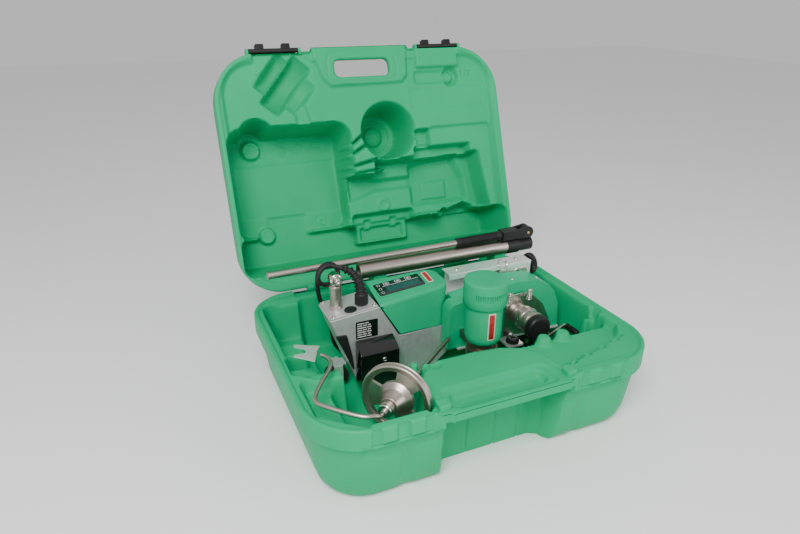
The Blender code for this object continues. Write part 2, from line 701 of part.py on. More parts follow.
def make_post():
    base = Vector((POST.x, POST.y, plate_top(POST.x) + 1.8))
    post = turned([(0.0, 44.0), (9.5, 44.0), (10.5, 43.0), (10.5, 40.0), (10.0, 39.5), (10.0, 6.0),
                   (12.0, 1.5),
                   (12.0, 0.0), (0.0, 0.0)], base, (0, 0, 1), 24, "handle_post")
    post = solid_copy(post)
    low, high = POST.x - 20.0, POST.x + 20.0
    subtract(post, prism([(low, 150.0), (high, 150.0), (high, plate_top(high) + 3.6),
                          (low, plate_top(low) + 3.6)],
                         POST.y - 20.0, POST.y + 20.0, "Y"))
    place(post, "handle_post", STEEL, 0.35, 1.0)
    centre = Vector((POST.x, POST.y, base.z + 44.0 + GAP + 11.0))
    head = rod(centre - Vector((0, 0, 11.0)), centre + Vector((0, 0, 2.0)), 8.0, sides=20, name="swivel_head",
               origin=centre)
    barrel = turned([(0.0, 11.0), (8.0, 11.0), (9.0, 9.0), (11.0, 8.0), (11.0, -9.0), (8.0, -11.0),
                     (0.0, -11.0)],
                    centre, (0, -1, 0), 24)
    bolt = turned([(0.0, 15.0), (3.0, 15.0), (4.5, 13.5), (4.5, 10.0), (0.0, 10.0)], centre, (0, -1, 0), 16)
    join(head, solid_copy(barrel), solid_copy(bolt))
    place(head, "swivel_head", STEEL, 0.3, 1.0)


# ---------------------------------------------------------------- drive and internals

def gear(teeth, width, bore, centre, phase, name):
    """Spur gear with its axis along Y."""
    pitch = teeth * GEAR_MODULE / 2
    outer, root = pitch + 0.8 * GEAR_MODULE, pitch - 1.1 * GEAR_MODULE
    outline = []
    for tooth in range(teeth):
        angle = (tooth + phase) * 2 * pi / teeth
        for radius, offset in ((root, -0.30), (outer, -0.12), (outer, 0.12), (root, 0.30)):
            a = angle + offset * 2 * pi / teeth
            outline.append((centre.x + radius * cos(a), centre.z + radius * sin(a)))
    made = prism(outline, centre.y, centre.y + width, "Y", name)
    hole = rod((centre.x, centre.y - 5.0, centre.z), (centre.x, centre.y + width + 5.0, centre.z), bore,
               sides=16)
    subtract(made, hole)
    return made


def make_drive():
    """Motor, pinion and gear wheel turn the drive roller under the front cover."""
    plate = prism([(34.0, 79.0), (252.0, 79.0), (252.0, 83.0), (34.0, 83.0)], -3.0, BACK_Y, "Y", "base_plate")
    tongue = box((120.0, 152.0), (-34.0, 0.0), (79.0, 83.0))
    subtract(plate, box((158.0, 226.0), (10.0, 92.0), (70.0, 90.0)))
    join(plate, tongue)
    place(plate, "base_plate", ALUMINIUM, 0.4, 1.0)

    centre_distance = (GEAR_TEETH + PINION_TEETH) * GEAR_MODULE / 2
    gear_centre = Vector((DRIVE_AXIS.x, 80.0, DRIVE_AXIS.z))
    angle = radians(112.0)
    pinion_centre = gear_centre + Vector((cos(angle) * centre_distance, 0.0, sin(angle) * centre_distance))
    shaft = 5.0
    roller = turned([(shaft, 60.0), (23.0, 60.0), (25.0, 58.0), (25.0, 2.0), (23.0, 0.0), (shaft, 0.0),
                     (shaft, 60.0)], (DRIVE_AXIS.x, 78.0, DRIVE_AXIS.z), (0, -1, 0), 32, "drive_roller")
    place(roller, "drive_roller", BLACK, 0.8)
    tooth_angle = 112.0 / 360.0
    wheel = gear(GEAR_TEETH, 7.0, shaft - 1.0, gear_centre, tooth_angle * GEAR_TEETH, "drive_gear")
    join(wheel, rod((DRIVE_AXIS.x, 14.0, DRIVE_AXIS.z), (DRIVE_AXIS.x, 90.0, DRIVE_AXIS.z), shaft - GAP,
                    sides=16))
    place(wheel, "drive_gear", BRASS, 0.35, 1.0)
    pinion_phase = (112.0 + 180.0) / 360.0 * PINION_TEETH + 0.5
    pinion = gear(PINION_TEETH, 7.0, 3.0, pinion_centre, pinion_phase, "motor_pinion")
    place(pinion, "motor_pinion", STEEL, 0.35, 1.0)
    motor = turned([(0.0, 84.0), (2.7, 84.0), (2.7, 74.0), (16.0, 74.0), (17.5, 72.0), (17.5, 12.0),
                    (15.0, 10.0),
                    (0.0, 10.0)], (pinion_centre.x, 4.0, pinion_centre.z), (0, 1, 0), 24, "drive_motor")
    place(motor, "drive_motor", STEEL, 0.4, 1.0)
    board = box((-60.0, 20.0), (40.0, 94.0), (150.0, 151.6), name="control_board")
    for x, y, width, height in ((-40.0, 60.0, 16.0, 10.0), (-10.0, 70.0, 12.0, 14.0), (4.0, 52.0, 10.0, 6.0)):
        join(board, box((x, x + width), (y, y + width * 0.8), (151.0, 151.6 + height)))
    place(board, "control_board", BOARD_GREEN, 0.5)


def make_crank():
    y = -9.0
    pivot = Vector((CRANK_AXIS.x, y, CRANK_AXIS.z))
    pin = Vector((CRANK_PIN.x, y, CRANK_PIN.z))
    span = pin - pivot
    side = Vector((-span.z, 0, span.x)).normalized() * 4.0
    outline = [(p.x, p.z) for p in (pivot - side - span * 0.1, pin - side, pin + span * 0.12, pin + side,
                                    pivot + side - span * 0.1)]
    arm = prism(outline, y, y + 4.0, "Y", "crank_lever")
    join(arm, rod((pivot.x, y + 1.0, pivot.z), (pivot.x, 90.0, pivot.z), 5.0, sides=16))
    join(arm, rod((pin.x, y + 1.0, pin.z), (pin.x, -38.0, pin.z), 2.0, sides=12))
    place(arm, "crank_lever", STEEL, 0.3, 1.0)
    grip = turned([(2.3, 33.0), (4.0, 33.0), (5.5, 30.0), (6.0, 20.0), (5.0, 6.0), (5.5, 1.0), (4.5, 0.0),
                   (2.3, 0.0),
                   (2.3, 33.0)], (pin.x, y - 0.6, pin.z), (0, -1, 0), 18, "crank_grip")
    place(grip, "crank_grip", BLACK, 0.45)


def make_front_cover():
    """Shell over the drive: a full-height front part with a nose beside the housing, and a low rear part."""
    right = [(252.0, 83.5), (248.0, 130.0), (236.0, 158.0), (222.0, 174.0), (196.0, 188.0), (146.0, 191.0)]
    inner = [(249.0, 75.0), (245.0, 129.0), (233.0, 156.0), (220.0, 171.0), (195.0, 185.0), (146.0, 188.0)]
    cover = prism([(14.0, 83.5)] + right + [(22.0, 170.0), (15.0, 158.0)], 0.0, 28.0, "Y", "front_cover")
    middle = prism([(33.0, 83.5)] + right + [(33.0, 172.2)], 26.0, 46.0, "Y")
    rear = prism([(33.0, 83.5), (252.0, 83.5), (248.0, 130.0), (240.0, 146.0), (33.0, 146.0)], 44.0, BACK_Y,
                 "Y")
    join(cover, middle, rear)
    subtract(cover, prism([(18.0, 75.0)] + inner + [(24.0, 167.0), (18.0, 156.0)], SHELL, 25.0, "Y"))
    subtract(cover, prism([(36.0, 75.0)] + inner + [(36.0, 169.5)], 20.0, 43.0, "Y"))
    subtract(cover, prism([(36.0, 75.0), (249.0, 75.0), (245.0, 129.0), (238.0, 143.0), (36.0, 143.0)],
                          40.0, BACK_Y - SHELL, "Y"))
    place(cover, "front_cover", DARK_GREEN, 0.45)


def make_channel():
    top, low, thick = 205.0, 148.0, 2.5
    left, right = 50.0, 214.0
    channel = box((left, right), (50.0, 80.0), (top - thick, top), name="tool_channel")
    join(channel, box((left, right), (80.0 - thick, 80.0), (low, top)))
    join(channel, box((left, right), (50.0, 50.0 + thick), (top - 9.0, top)))
    join(channel, box((166.0, right), (50.0, 50.0 + thick), (low + 10.0, top)))
    join(channel, box((right - thick, right), (50.0, 80.0), (low + 20.0, top)))
    slot = prism(arc((198.0, 182.0), 8.0, -90, 90, 8) + [(180.0, 190.0), (180.0, 174.0)], 45.0, 55.0, "Y")
    subtract(channel, slot)
    subtract(channel, rod((right - 12.0, 66.0, 190.0), (right + 12.0, 66.0, 190.0), 4.3, sides=14))
    place(channel, "tool_channel", ALUMINIUM, 0.25, 1.0)
    knob = turned([(0.0, 15.0), (15.0, 15.0), (19.5, 13.0), (20.0, 11.0), (20.0, 4.0), (18.0, 2.0),
                   (8.0, 2.0),
                   (6.0, 0.0), (4.0, 0.0), (4.0, -20.0), (0.0, -20.0)], (right + 1.0, 66.0, 190.0),
                  (1, 0, 0), 20,
                  "clamp_knob")
    place(knob, "clamp_knob", BLACK, 0.5)
    ring_centre = Vector((160.0, 45.0, 203.0))
    points = [ring_centre + Vector((9.0 * cos(radians(a)), 0.008 * (a + 90) - 2.0, 9.0 * sin(radians(a))))
              for a in range(-90, 361, 30)]
    points += [points[-1] + Vector((2.0, 0.2, -5.0)), points[-1] + Vector((6.0, 0.4, -12.0))]
    place(wire(points, 1.0, "spring_clip"), "spring_clip", STEEL, 0.25, 1.0)


def make_lift_unit():
    """Unit that presses the roller down, with its return springs and mounting plate."""
    motor = turned([(0.0, 56.0), (20.0, 56.0), (21.5, 54.0), (21.5, 12.0), (17.0, 11.0), (17.0, 0.0),
                    (0.0, 0.0)],
                   LIFT_MOTOR + Vector((0, -6.6, 0)), (0, -1, 0), 28, "lift_motor")
    place(motor, "lift_motor", ALUMINIUM, 0.3, 1.0)
    cap = turned([(0.0, 9.5), (18.0, 9.5), (22.0, 7.5), (23.0, 5.0), (23.0, -6.0), (21.9, -6.0), (21.9, 0.3),
                  (0.0, 0.3)], LIFT_MOTOR + Vector((0, -62.6, 0)), (0, -1, 0), 28, "lift_motor_cap")
    place(cap, "lift_motor_cap", BLACK, 0.3)
    plate = prism([(96.0, 84.0), (104.0, 150.0), (118.0, 172.0), (178.0, 172.0), (212.0, 140.0),
                   (226.0, 106.0),
                   (222.0, 84.0), (190.0, 90.0), (150.0, 90.0), (126.0, 84.0)], -6.3, -3.3, "Y", "side_plate")
    place(plate, "side_plate", ALUMINIUM, 0.3, 1.0)
    for name, x in (("spring_left", 126.0), ("spring_right", 168.0)):
        points = []
        turns, wire_steps, height = 4, 6, 22.0
        for i in range(turns * wire_steps + 1):
            a = 2 * pi * i / wire_steps
            points.append((x + 4.0 * cos(a), -16.0 + 4.0 * sin(a), 160.0 + height * i / (turns * wire_steps)))
        place(wire(points, 0.9, name, 1), name, STEEL, 0.3, 1.0)
    dial_base = Vector((136.0, -22.0, 83.6))
    dial = turned([(0.0, 9.0), (9.0, 9.0), (10.5, 7.5), (12.0, 0.0), (0.0, 0.0)], dial_base, (0, 0, 1), 10,
                  "temperature_dial")
    place(dial, "temperature_dial", BLACK, 0.4)


def make_rear_wheel():
    centre = Vector((-176.0, 60.0, 45.0))
    wheel = turned([(3.0, 24.0), (18.0, 24.0), (20.0, 22.0), (20.0, 2.0), (18.0, 0.0), (3.0, 0.0),
                    (3.0, 24.0)],
                   centre + Vector((0, 12.0, 0)), (0, -1, 0), 28, "rear_wheel")
    place(wheel, "rear_wheel", BLACK, 0.7)
    bracket = box((-184.0, -168.0), (44.0, 76.0), (68.0, 71.0), name="wheel_bracket")
    for low, high in ((44.0, 47.0), (73.0, 76.0)):
        join(bracket, box((-184.0, -168.0), (low, high), (38.0, 69.0)))
    join(bracket, rod((centre.x, 46.0, centre.z), (centre.x, 74.0, centre.z), 2.7, sides=14))
    join(bracket, box((-169.0, -160.6), (50.0, 70.0), (68.0, 71.0)))
    place(bracket, "wheel_bracket", ALUMINIUM, 0.35, 1.0)


# ---------------------------------------------------------------- hot-air blower

def make_blower():
    def part(profile, base_z, sides, name, colour, roughness, metallic=0.0):
        return place(turned(profile, BLOWER + Vector((0, 0, base_z)), (0, 0, 1), sides, name), name, colour,
                     roughness, metallic)

    part([(0.0, 30.0), (29.0, 30.0), (33.5, 28.0), (36.0, 23.5), (36.0, 0.0), (33.0, 0.0), (33.0, 23.0),
          (28.0, 27.0), (0.0, 27.0)], 213.3, 28, "blower_cap", DARK_GREEN, 0.45)
    part([(27.5, 71.0), (32.0, 71.0), (32.0, 18.0), (30.0, 8.0), (27.0, 2.0), (24.5, 0.0), (22.3, 0.0),
          (22.3, 8.0), (27.5, 14.0), (27.5, 71.0)], 142.0, 28, "blower_housing", DARK_GREEN, 0.45)
    part([(0.0, 62.0), (1.9, 62.0), (1.9, 46.0), (18.0, 46.0), (20.0, 44.0), (20.0, 6.0), (16.0, 4.0),
          (0.0, 4.0)],
         160.0, 24, "blower_motor", STEEL, 0.4, 1.0)
    part([(2.2, 16.0), (6.0, 16.0), (8.0, 5.0), (28.0, 2.5), (28.0, 0.0), (2.2, 0.0), (2.2, 16.0)], 214.6, 28,
         "impeller", ALUMINIUM, 0.4, 1.0)
    part([(19.5, 82.0), (22.0, 82.0), (22.0, 0.0), (19.5, 0.0), (19.5, 82.0)], 68.0, 28, "heater_tube",
         STEEL, 0.45, 1.0)
    part([(2.5, 60.0), (15.0, 60.0), (15.0, 0.0), (2.5, 0.0), (2.5, 60.0)], 78.0, 20, "heating_element",
         CERAMIC, 0.8)
    make_nozzle()
    bracket = pipe(BLOWER + Vector((0, 0, 106.0)), BLOWER + Vector((0, 0, 122.0)), 27.0, 22.4, 28,
                   "blower_clamp")
    bracket = solid_copy(bracket)
    join(bracket, box((36.0, 52.0), (-38.0, -GAP), (107.0, 121.0)))
    place(bracket, "blower_clamp", ALUMINIUM, 0.35, 1.0)


def make_nozzle():
    """Collar on the heater tube that flattens into a wide slot pointing along +X."""
    steps = 18

    def ring(x, z, half_y, half_z, lean):
        points = []
        for i in range(steps):
            a = 2 * pi * i / steps
            across, along = cos(a) * half_y, sin(a) * half_z
            points.append((BLOWER.x + x + along * cos(lean), BLOWER.y + across, z + along * sin(lean)))
        return points

    def duct(wide, thin, top, end, name):
        return loft([ring(0.0, top, wide + 1.6, wide + 1.6, 0.0),
                     ring(0.0, 67.5, wide + 1.6, wide + 1.6, 0.0),
                     ring(0.0, 54.0, wide, wide, 0.0), ring(6.0, 40.0, wide, wide - 6.0, radians(40)),
                     ring(26.0, 38.0, wide, thin + 4.0, radians(78)),
                     ring(end, 35.0, wide, thin, radians(90))], name)

    nozzle = duct(24.0, 5.0, 78.0, 70.0, "nozzle")
    subtract(nozzle, duct(20.9, 3.0, 82.0, 80.0, "nozzle_bore"))
    place(nozzle, "nozzle", STEEL, 0.4, 1.0)


# ---------------------------------------------------------------- mains cord

BOOT_KNOTS = ((-129.0, 52.0, 182.0), (-129.0, 53.0, 200.0), (-131.0, 60.0, 220.0), (-138.0, 70.0, 233.0),
              (-150.0, 80.0, 238.0))
CORD_KNOTS = ((-150.6, 80.4, 238.2), (-162.0, 89.0, 241.0), (-175.0, 92.0, 243.0), (-188.0, 90.0, 236.0),
              (-193.0, 87.0, 224.0), (-187.0, 89.0, 212.0), (-172.0, 94.0, 207.0), (-158.0, 103.0, 210.0),
              (-150.0, 110.0, 219.0), (-155.0, 115.0, 231.0), (-168.0, 118.0, 234.0), (-180.0, 121.0, 224.0),
              (-184.0, 124.0, 205.0), (-183.0, 126.4, 180.0), (-178.0, 127.8, 155.0), (-170.0, 128.2, 128.0),
              (-161.5, 128.2, 102.0), (-159.4, 128.2, 85.0))


def make_cord():
    route = smooth_route(BOOT_KNOTS, 8.0)
    radii = [1.0 - 0.52 * i / (len(route) - 1) for i in range(len(route))]
    place(wire(route, 11.5, "strain_relief", 3, radii), "strain_relief", BLACK, 0.6)
    place(wire(smooth_route(CORD_KNOTS, 9.0), CORD_RADIUS, "mains_cord"), "mains_cord", BLACK, 0.6)
    coil = turned([(COIL_INNER, COIL_HALF_WIDTH), (COIL_OUTER, COIL_HALF_WIDTH),
                   (COIL_OUTER, -COIL_HALF_WIDTH), (COIL_INNER, -COIL_HALF_WIDTH),
                   (COIL_INNER, COIL_HALF_WIDTH)], COIL_CENTRE, (0, 1, 0), 32, "cord_coil")
    place(coil, "cord_coil", BLACK, 0.6)
    start = COIL_CENTRE + Vector((sqrt(COIL_OUTER ** 2 - 43.0 ** 2) + 6.0, 0.0, -43.0))
    plug = turned([(0.0, 60.0), (12.4, 60.0), (13.2, 58.5), (13.2, 34.0), (11.0, 26.0), (7.0, 20.0),
                   (5.0, 0.0), (0.0, 0.0)], start, (1, 0, 0), 20, "mains_plug")
    plug = solid_copy(plug)
    for y in (-9.5, 9.5):
        prong = start + Vector((58.0, y, 0.0))
        join(plug, rod(prong, prong + Vector((21.0, 0, 0)), 2.4, sides=10))
    place(plug, "mains_plug", BLACK, 0.5)


# ---------------------------------------------------------------- guide bar

def make_guide_bar():
    big = pipe((-98.0, BAR_Y, BIG_TUBE_Z), (230.0, BAR_Y, BIG_TUBE_Z), BIG_TUBE_RADIUS,
               BIG_TUBE_RADIUS - 1.8, 28, "guide_tube")
    place(big, "guide_tube", STEEL, 0.3, 1.0)
    left, right = Vector((-266.0, BAR_Y, 215.628)), Vector((230.0, BAR_Y, 220.5))
    along = (right - left).normalized()
    small = pipe(left, right, SMALL_TUBE_RADIUS, 5.0, 24, "handle_tube")
    place(small, "handle_tube", STEEL, 0.3, 1.0)
    grip = turned([(SMALL_TUBE_RADIUS + GAP, 101.0), (8.0, 101.0), (9.0, 99.0), (9.0, 2.0), (8.0, 0.0),
                   (SMALL_TUBE_RADIUS + GAP, 0.0), (SMALL_TUBE_RADIUS + GAP, 101.0)], left + along * 371.0,
                  along, 20, "handle_grip")
    place(grip, "handle_grip", BLACK, 0.7)
    sleeve = turned([(0.0, 59.0), (14.2, 59.0), (14.2, 31.0), (16.0, 27.0), (16.0, 0.0), (0.0, 0.0)],
                    (219.0, BAR_Y, BIG_TUBE_Z), (1, 0, 0), 28, "joint_sleeve")
    ear = prism(arc((FOLD_PIN.x, FOLD_PIN.z), 12.0, -20, 170, 10) + [(247.0, 205.0), (247.0, 190.0),
                                                                     (277.0, 190.0)],
                BAR_Y - 6.0, BAR_Y + 6.0, "Y")
    join(sleeve, ear)
    subtract(sleeve, rod((210.0, BAR_Y, BIG_TUBE_Z), (240.0, BAR_Y, BIG_TUBE_Z), BIG_TUBE_RADIUS + GAP,
                         sides=28))
    pin_a, pin_b = FOLD_PIN - Vector((0, 13.0, 0)), FOLD_PIN + Vector((0, 13.0, 0))
    subtract(sleeve, rod(pin_a, pin_b, 3.05, sides=24))
    place(sleeve, "joint_sleeve", BLACK, 0.5)
    cheek = [(207.5, 211.0), (238.0, 211.5), (252.0, 213.0)]
    cheek += arc((FOLD_PIN.x, FOLD_PIN.z), 12.5, -60, 110, 9) + [(240.0, 230.0), (207.5, 229.0)]
    fork = prism(cheek, BAR_Y - 11.5, BAR_Y + 11.5, "Y", "fold_fork")
    subtract(fork, box((243.0, 300.0), (BAR_Y - 6.4, BAR_Y + 6.4), (180.0, 250.0)))
    subtract(fork, rod(left + along * 467.0, right + along * 0.4, SMALL_TUBE_RADIUS + GAP, sides=24))
    subtract(fork, rod(pin_a, pin_b, 3.05, sides=24))
    place(fork, "fold_fork", BLACK, 0.5)
    pin = rod(FOLD_PIN - Vector((0, 12.5, 0)), FOLD_PIN + Vector((0, 12.5, 0)), 3.0, sides=24,
              origin=FOLD_PIN)
    place(pin, "fold_pin", BRASS, 0.3, 1.0)


# ---------------------------------------------------------------- guide roller

ARM_KNOTS = ((-205.0, -199.5, 146.0), (-221.0, -196.0, 147.5), (-243.0, -177.5, 149.0),
             (-262.0, -157.0, 150.0), (-270.0, -143.0, 150.0), (-266.0, -127.0, 150.0),
             (-249.0, -101.0, 150.0), (-229.0, -74.0, 150.0), (-220.0, -55.0, 150.0),
             (-222.0, -38.0, 150.0), (-228.0, -30.0, 150.0))


def make_guide_roller():
    axis = roller_axis(1.0) - roller_axis(0.0)
    disc = turned([(8.4, 10.0), (22.0, 10.0), (40.0, 7.0), (50.0, 7.0), (52.5, 9.0), (54.5, 7.5),
                   (52.5, 3.5), (54.5, -0.5), (52.5, -3.0), (49.0, -2.0), (40.0, 1.0), (30.0, 2.0),
                   (20.0, -6.0),
                   (13.0, -22.0), (8.4, -22.0), (8.4, 10.0)], roller_axis(0.0), axis, 28, "guide_roller")
    disc = solid_copy(disc)
    for start_angle in (25.0, 145.0, 265.0):
        window = arc((0.0, 0.0), 44.0, start_angle, start_angle + 66.0, 6)
        window += arc((0.0, 0.0), 27.0, start_angle + 60.0, start_angle + 6.0, 4)
        window = prism(window, -30.0, 30.0, "Z", "roller_window")
        window.matrix_world = disc.matrix_world @ window.matrix_world
        subtract(disc, window)
    place(disc, "guide_roller", STEEL, 0.15, 1.0)
    spindle = turned([(0.0, 226.0), (2.5, 226.0), (4.0, 222.0), (4.0, 20.0), (8.0, 20.0), (8.0, -23.0),
                      (11.0, -23.0),
                      (11.0, -30.0), (6.5, -31.0), (6.5, -36.0), (4.5, -37.0), (4.5, -42.0), (0.0, -42.0)],
                     roller_axis(0.0), axis, 16, "roller_spindle")
    place(spindle, "roller_spindle", STEEL, 0.2, 1.0)
    start = roller_axis(-43.4)
    knots = [start, start - axis * 6.0] + [Vector(k) for k in ARM_KNOTS]
    arm = wire(smooth_route(knots, 8.0), 3.25, "guide_arm", 1)
    place(arm, "guide_arm", STEEL, 0.3, 1.0)
    plate = prism([(-232.0, -24.0), (-244.0, -52.0), (-270.0, -26.0), (-266.5, -22.0), (-252.0, -24.0),
                   (-248.0, -19.0), (-249.0, -12.0), (-262.0, 1.0), (-260.0, 8.0), (-224.0, -12.0)],
                  153.6, 155.6, "Z", "fork_plate")
    place(plate, "fork_plate", STEEL, 0.35, 1.0)


# ---------------------------------------------------------------- build

make_case_base()
make_case_lid()
make_latches()
make_hinge_pins()
make_rear_housing()
make_top_plate()
make_control_cover()
make_housing_fittings()
make_post()
make_drive()
make_crank()
make_front_cover()
make_channel()
make_lift_unit()
make_rear_wheel()
make_blower()
make_cord()
make_guide_bar()
make_guide_roller()
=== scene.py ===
"""Looks of a hot-air membrane welding machine that lies in its open carry case.

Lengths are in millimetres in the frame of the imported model, and become metres where a mesh is made.
"""
from math import cos, pi, radians, sin

import bmesh
import bpy
import numpy as np
from mathutils import Matrix, Vector


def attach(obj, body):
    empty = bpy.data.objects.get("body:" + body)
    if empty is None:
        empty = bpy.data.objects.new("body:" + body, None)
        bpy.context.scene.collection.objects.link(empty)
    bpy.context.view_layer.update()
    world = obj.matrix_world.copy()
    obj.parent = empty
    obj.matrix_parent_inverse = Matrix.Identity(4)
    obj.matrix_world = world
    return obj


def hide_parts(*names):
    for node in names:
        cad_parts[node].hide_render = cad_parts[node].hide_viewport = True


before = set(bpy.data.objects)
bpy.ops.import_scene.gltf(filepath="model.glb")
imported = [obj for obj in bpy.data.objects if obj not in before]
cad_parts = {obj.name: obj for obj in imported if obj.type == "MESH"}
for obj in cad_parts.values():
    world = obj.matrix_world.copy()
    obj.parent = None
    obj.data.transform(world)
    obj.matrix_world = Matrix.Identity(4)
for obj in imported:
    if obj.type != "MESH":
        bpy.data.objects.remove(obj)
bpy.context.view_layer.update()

MM = 0.001
SCENE = bpy.context.scene

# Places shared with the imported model
CASE_LEFT, CASE_RIGHT = -294.0, 300.0
CASE_HALF_DEPTH = 223.4
RIM_Z = 142.0
LID_Z = 142.3
LID_HEIGHT = 130.0
HINGE_Y, HINGE_Z = 224.0, 142.15
LID_OPEN = radians(110.0)
FRONT_CORNER, BACK_CORNER = 92.0, 76.0
BLOWER = (44.0, -63.0)
POST = (-170.0, 65.0)
PLATE_SLOPE = 9.0 / 82.0
BAR_Y = 149.0
BIG_TUBE_Z = 194.5
COIL_CENTRE = (-95.0, 120.0, 85.0)
FRONT_Y = 30.0
PANEL_CENTRE = (-52.0, 66.5, 194.9)
LUG_X, KNUCKLE_X, LATCH_X = 108.0, 150.0, 172.0
BAR_OUT = 7.0
RIM_ROUND, RIM_WIDTH = 2.2, 7.5
ROLLER_CENTRE = np.array([-160.0, -165.0, 137.0])
ROLLER_HEADING, ROLLER_TILT = radians(42.0), radians(-5.0)
ROLLER_AXIS = np.array([cos(ROLLER_TILT) * cos(ROLLER_HEADING), cos(ROLLER_TILT) * sin(ROLLER_HEADING),
                        sin(ROLLER_TILT)])


# ---------------------------------------------------------------- camera, light and floor

def make_camera():
    """Camera to the left of the case's front, in metres and radians."""
    place = Vector((-0.4533, -0.8333, 0.6710))
    lens = 27.91
    azimuth, elevation, roll = -0.4206, 0.4212, 0.0078
    back = Vector((sin(azimuth) * cos(elevation), -cos(azimuth) * cos(elevation), sin(elevation)))
    level = Vector((cos(azimuth), sin(azimuth), 0.0))
    upright = back.cross(level)
    right = level * cos(roll) + upright * sin(roll)
    up = upright * cos(roll) - level * sin(roll)
    camera = bpy.data.objects.new("camera", bpy.data.cameras.new("camera"))
    camera.data.sensor_width = 36.0
    camera.data.lens = lens
    camera.matrix_world = Matrix.Translation(place) @ Matrix((right, up, back)).transposed().to_4x4()
    SCENE.collection.objects.link(camera)
    SCENE.camera = camera


def area_light(name, place, target, size, power):
    """Rectangular light that faces a target."""
    data = bpy.data.lights.new(name, "AREA")
    data.shape = "RECTANGLE"
    data.size, data.size_y = size
    data.energy = power
    light = bpy.data.objects.new(name, data)
    light.location = place
    light.rotation_euler = (Vector(target) - Vector(place)).to_track_quat("-Z", "Y").to_euler()
    SCENE.collection.objects.link(light)


def make_studio():
    """White surroundings, two soft lights and a floor just under the case."""
    world = bpy.data.worlds.new("studio")
    world.use_nodes = True
    sky = world.node_tree.nodes["Background"]
    sky.inputs["Color"].default_value = (1.0, 1.0, 1.0, 1.0)
    sky.inputs["Strength"].default_value = 0.62
    SCENE.world = world
    area_light("key", (-0.9, -1.2, 1.75), (0.0, 0.0, 0.15), (0.9, 0.9), 50.0)
    area_light("fill", (1.4, -1.5, 0.8), (0.0, 0.0, 0.15), (1.0, 1.0), 11.0)
    floor = bpy.data.objects.new("floor", bpy.data.meshes.new("floor"))
    bm = bmesh.new()
    bmesh.ops.create_grid(bm, x_segments=1, y_segments=1, size=6.0)
    bm.to_mesh(floor.data)
    bm.free()
    floor.location.z = -0.0005
    paint = bpy.data.materials.new("floor")
    paint.use_nodes = True
    shader = paint.node_tree.nodes["Principled BSDF"]
    shader.inputs["Base Color"].default_value = (0.92, 0.92, 0.92, 1.0)
    shader.inputs["Roughness"].default_value = 0.8
    floor.data.materials.append(paint)
    SCENE.collection.objects.link(floor)


# ---------------------------------------------------------------- materials

def link(tree, source, target):
    tree.links.new(source, target)


def noise(tree, coordinate, scale, detail=3.0, stretch=None):
    """Noise value, over a coordinate that may be stretched."""
    node = tree.nodes.new("ShaderNodeTexNoise")
    node.inputs["Scale"].default_value = scale
    node.inputs["Detail"].default_value = detail
    if stretch:
        mapping = tree.nodes.new("ShaderNodeMapping")
        mapping.inputs["Scale"].default_value = stretch
        link(tree, coordinate, mapping.inputs["Vector"])
        coordinate = mapping.outputs["Vector"]
    link(tree, coordinate, node.inputs["Vector"])
    return node.outputs["Fac"]


def spread(tree, value, low, high):
    """A 0 to 1 value spread over the range low to high."""
    node = tree.nodes.new("ShaderNodeMapRange")
    node.inputs["From Min"].default_value = 0.3
    node.inputs["From Max"].default_value = 0.7
    node.inputs["To Min"].default_value = low
    node.inputs["To Max"].default_value = high
    link(tree, value, node.inputs["Value"])
    return node.outputs["Result"]


def surface(name, dark, light, roughness, metallic=0.0, blotch=18.0, grain=900.0, bump=0.00005, stretch=None,
            wear=None, **sockets):
    """Material whose colour wanders between dark and light, with a fine grain and worn edges."""
    made = bpy.data.materials.new(name)
    made.use_nodes = True
    tree = made.node_tree
    shader = tree.nodes["Principled BSDF"]
    place = tree.nodes.new("ShaderNodeTexCoord").outputs["Object"]
    mix = tree.nodes.new("ShaderNodeMix")
    mix.data_type = "RGBA"
    mix.inputs["A"].default_value = (*dark, 1.0)
    mix.inputs["B"].default_value = (*light, 1.0)
    link(tree, spread(tree, noise(tree, place, blotch), 0.0, 1.0), mix.inputs["Factor"])
    colour = mix.outputs["Result"]
    if wear:
        edge = tree.nodes.new("ShaderNodeNewGeometry").outputs["Pointiness"]
        ramp = tree.nodes.new("ShaderNodeMapRange")
        ramp.inputs["From Min"].default_value = 0.52
        ramp.inputs["From Max"].default_value = 0.62
        link(tree, edge, ramp.inputs["Value"])
        worn = tree.nodes.new("ShaderNodeMix")
        worn.data_type = "RGBA"
        link(tree, ramp.outputs["Result"], worn.inputs["Factor"])
        link(tree, colour, worn.inputs["A"])
        worn.inputs["B"].default_value = (*wear, 1.0)
        colour = worn.outputs["Result"]
    link(tree, colour, shader.inputs["Base Color"])
    fine = noise(tree, place, grain, 2.0, stretch)
    link(tree, spread(tree, fine, roughness * 0.85, roughness * 1.15), shader.inputs["Roughness"])
    shader.inputs["Metallic"].default_value = metallic
    raised = tree.nodes.new("ShaderNodeBump")
    raised.inputs["Strength"].default_value = 1.0
    raised.inputs["Distance"].default_value = bump
    link(tree, fine, raised.inputs["Height"])
    link(tree, raised.outputs["Normal"], shader.inputs["Normal"])
    for socket, value in sockets.items():
        shader.inputs[socket.replace("_", " ")].default_value = value
    return made


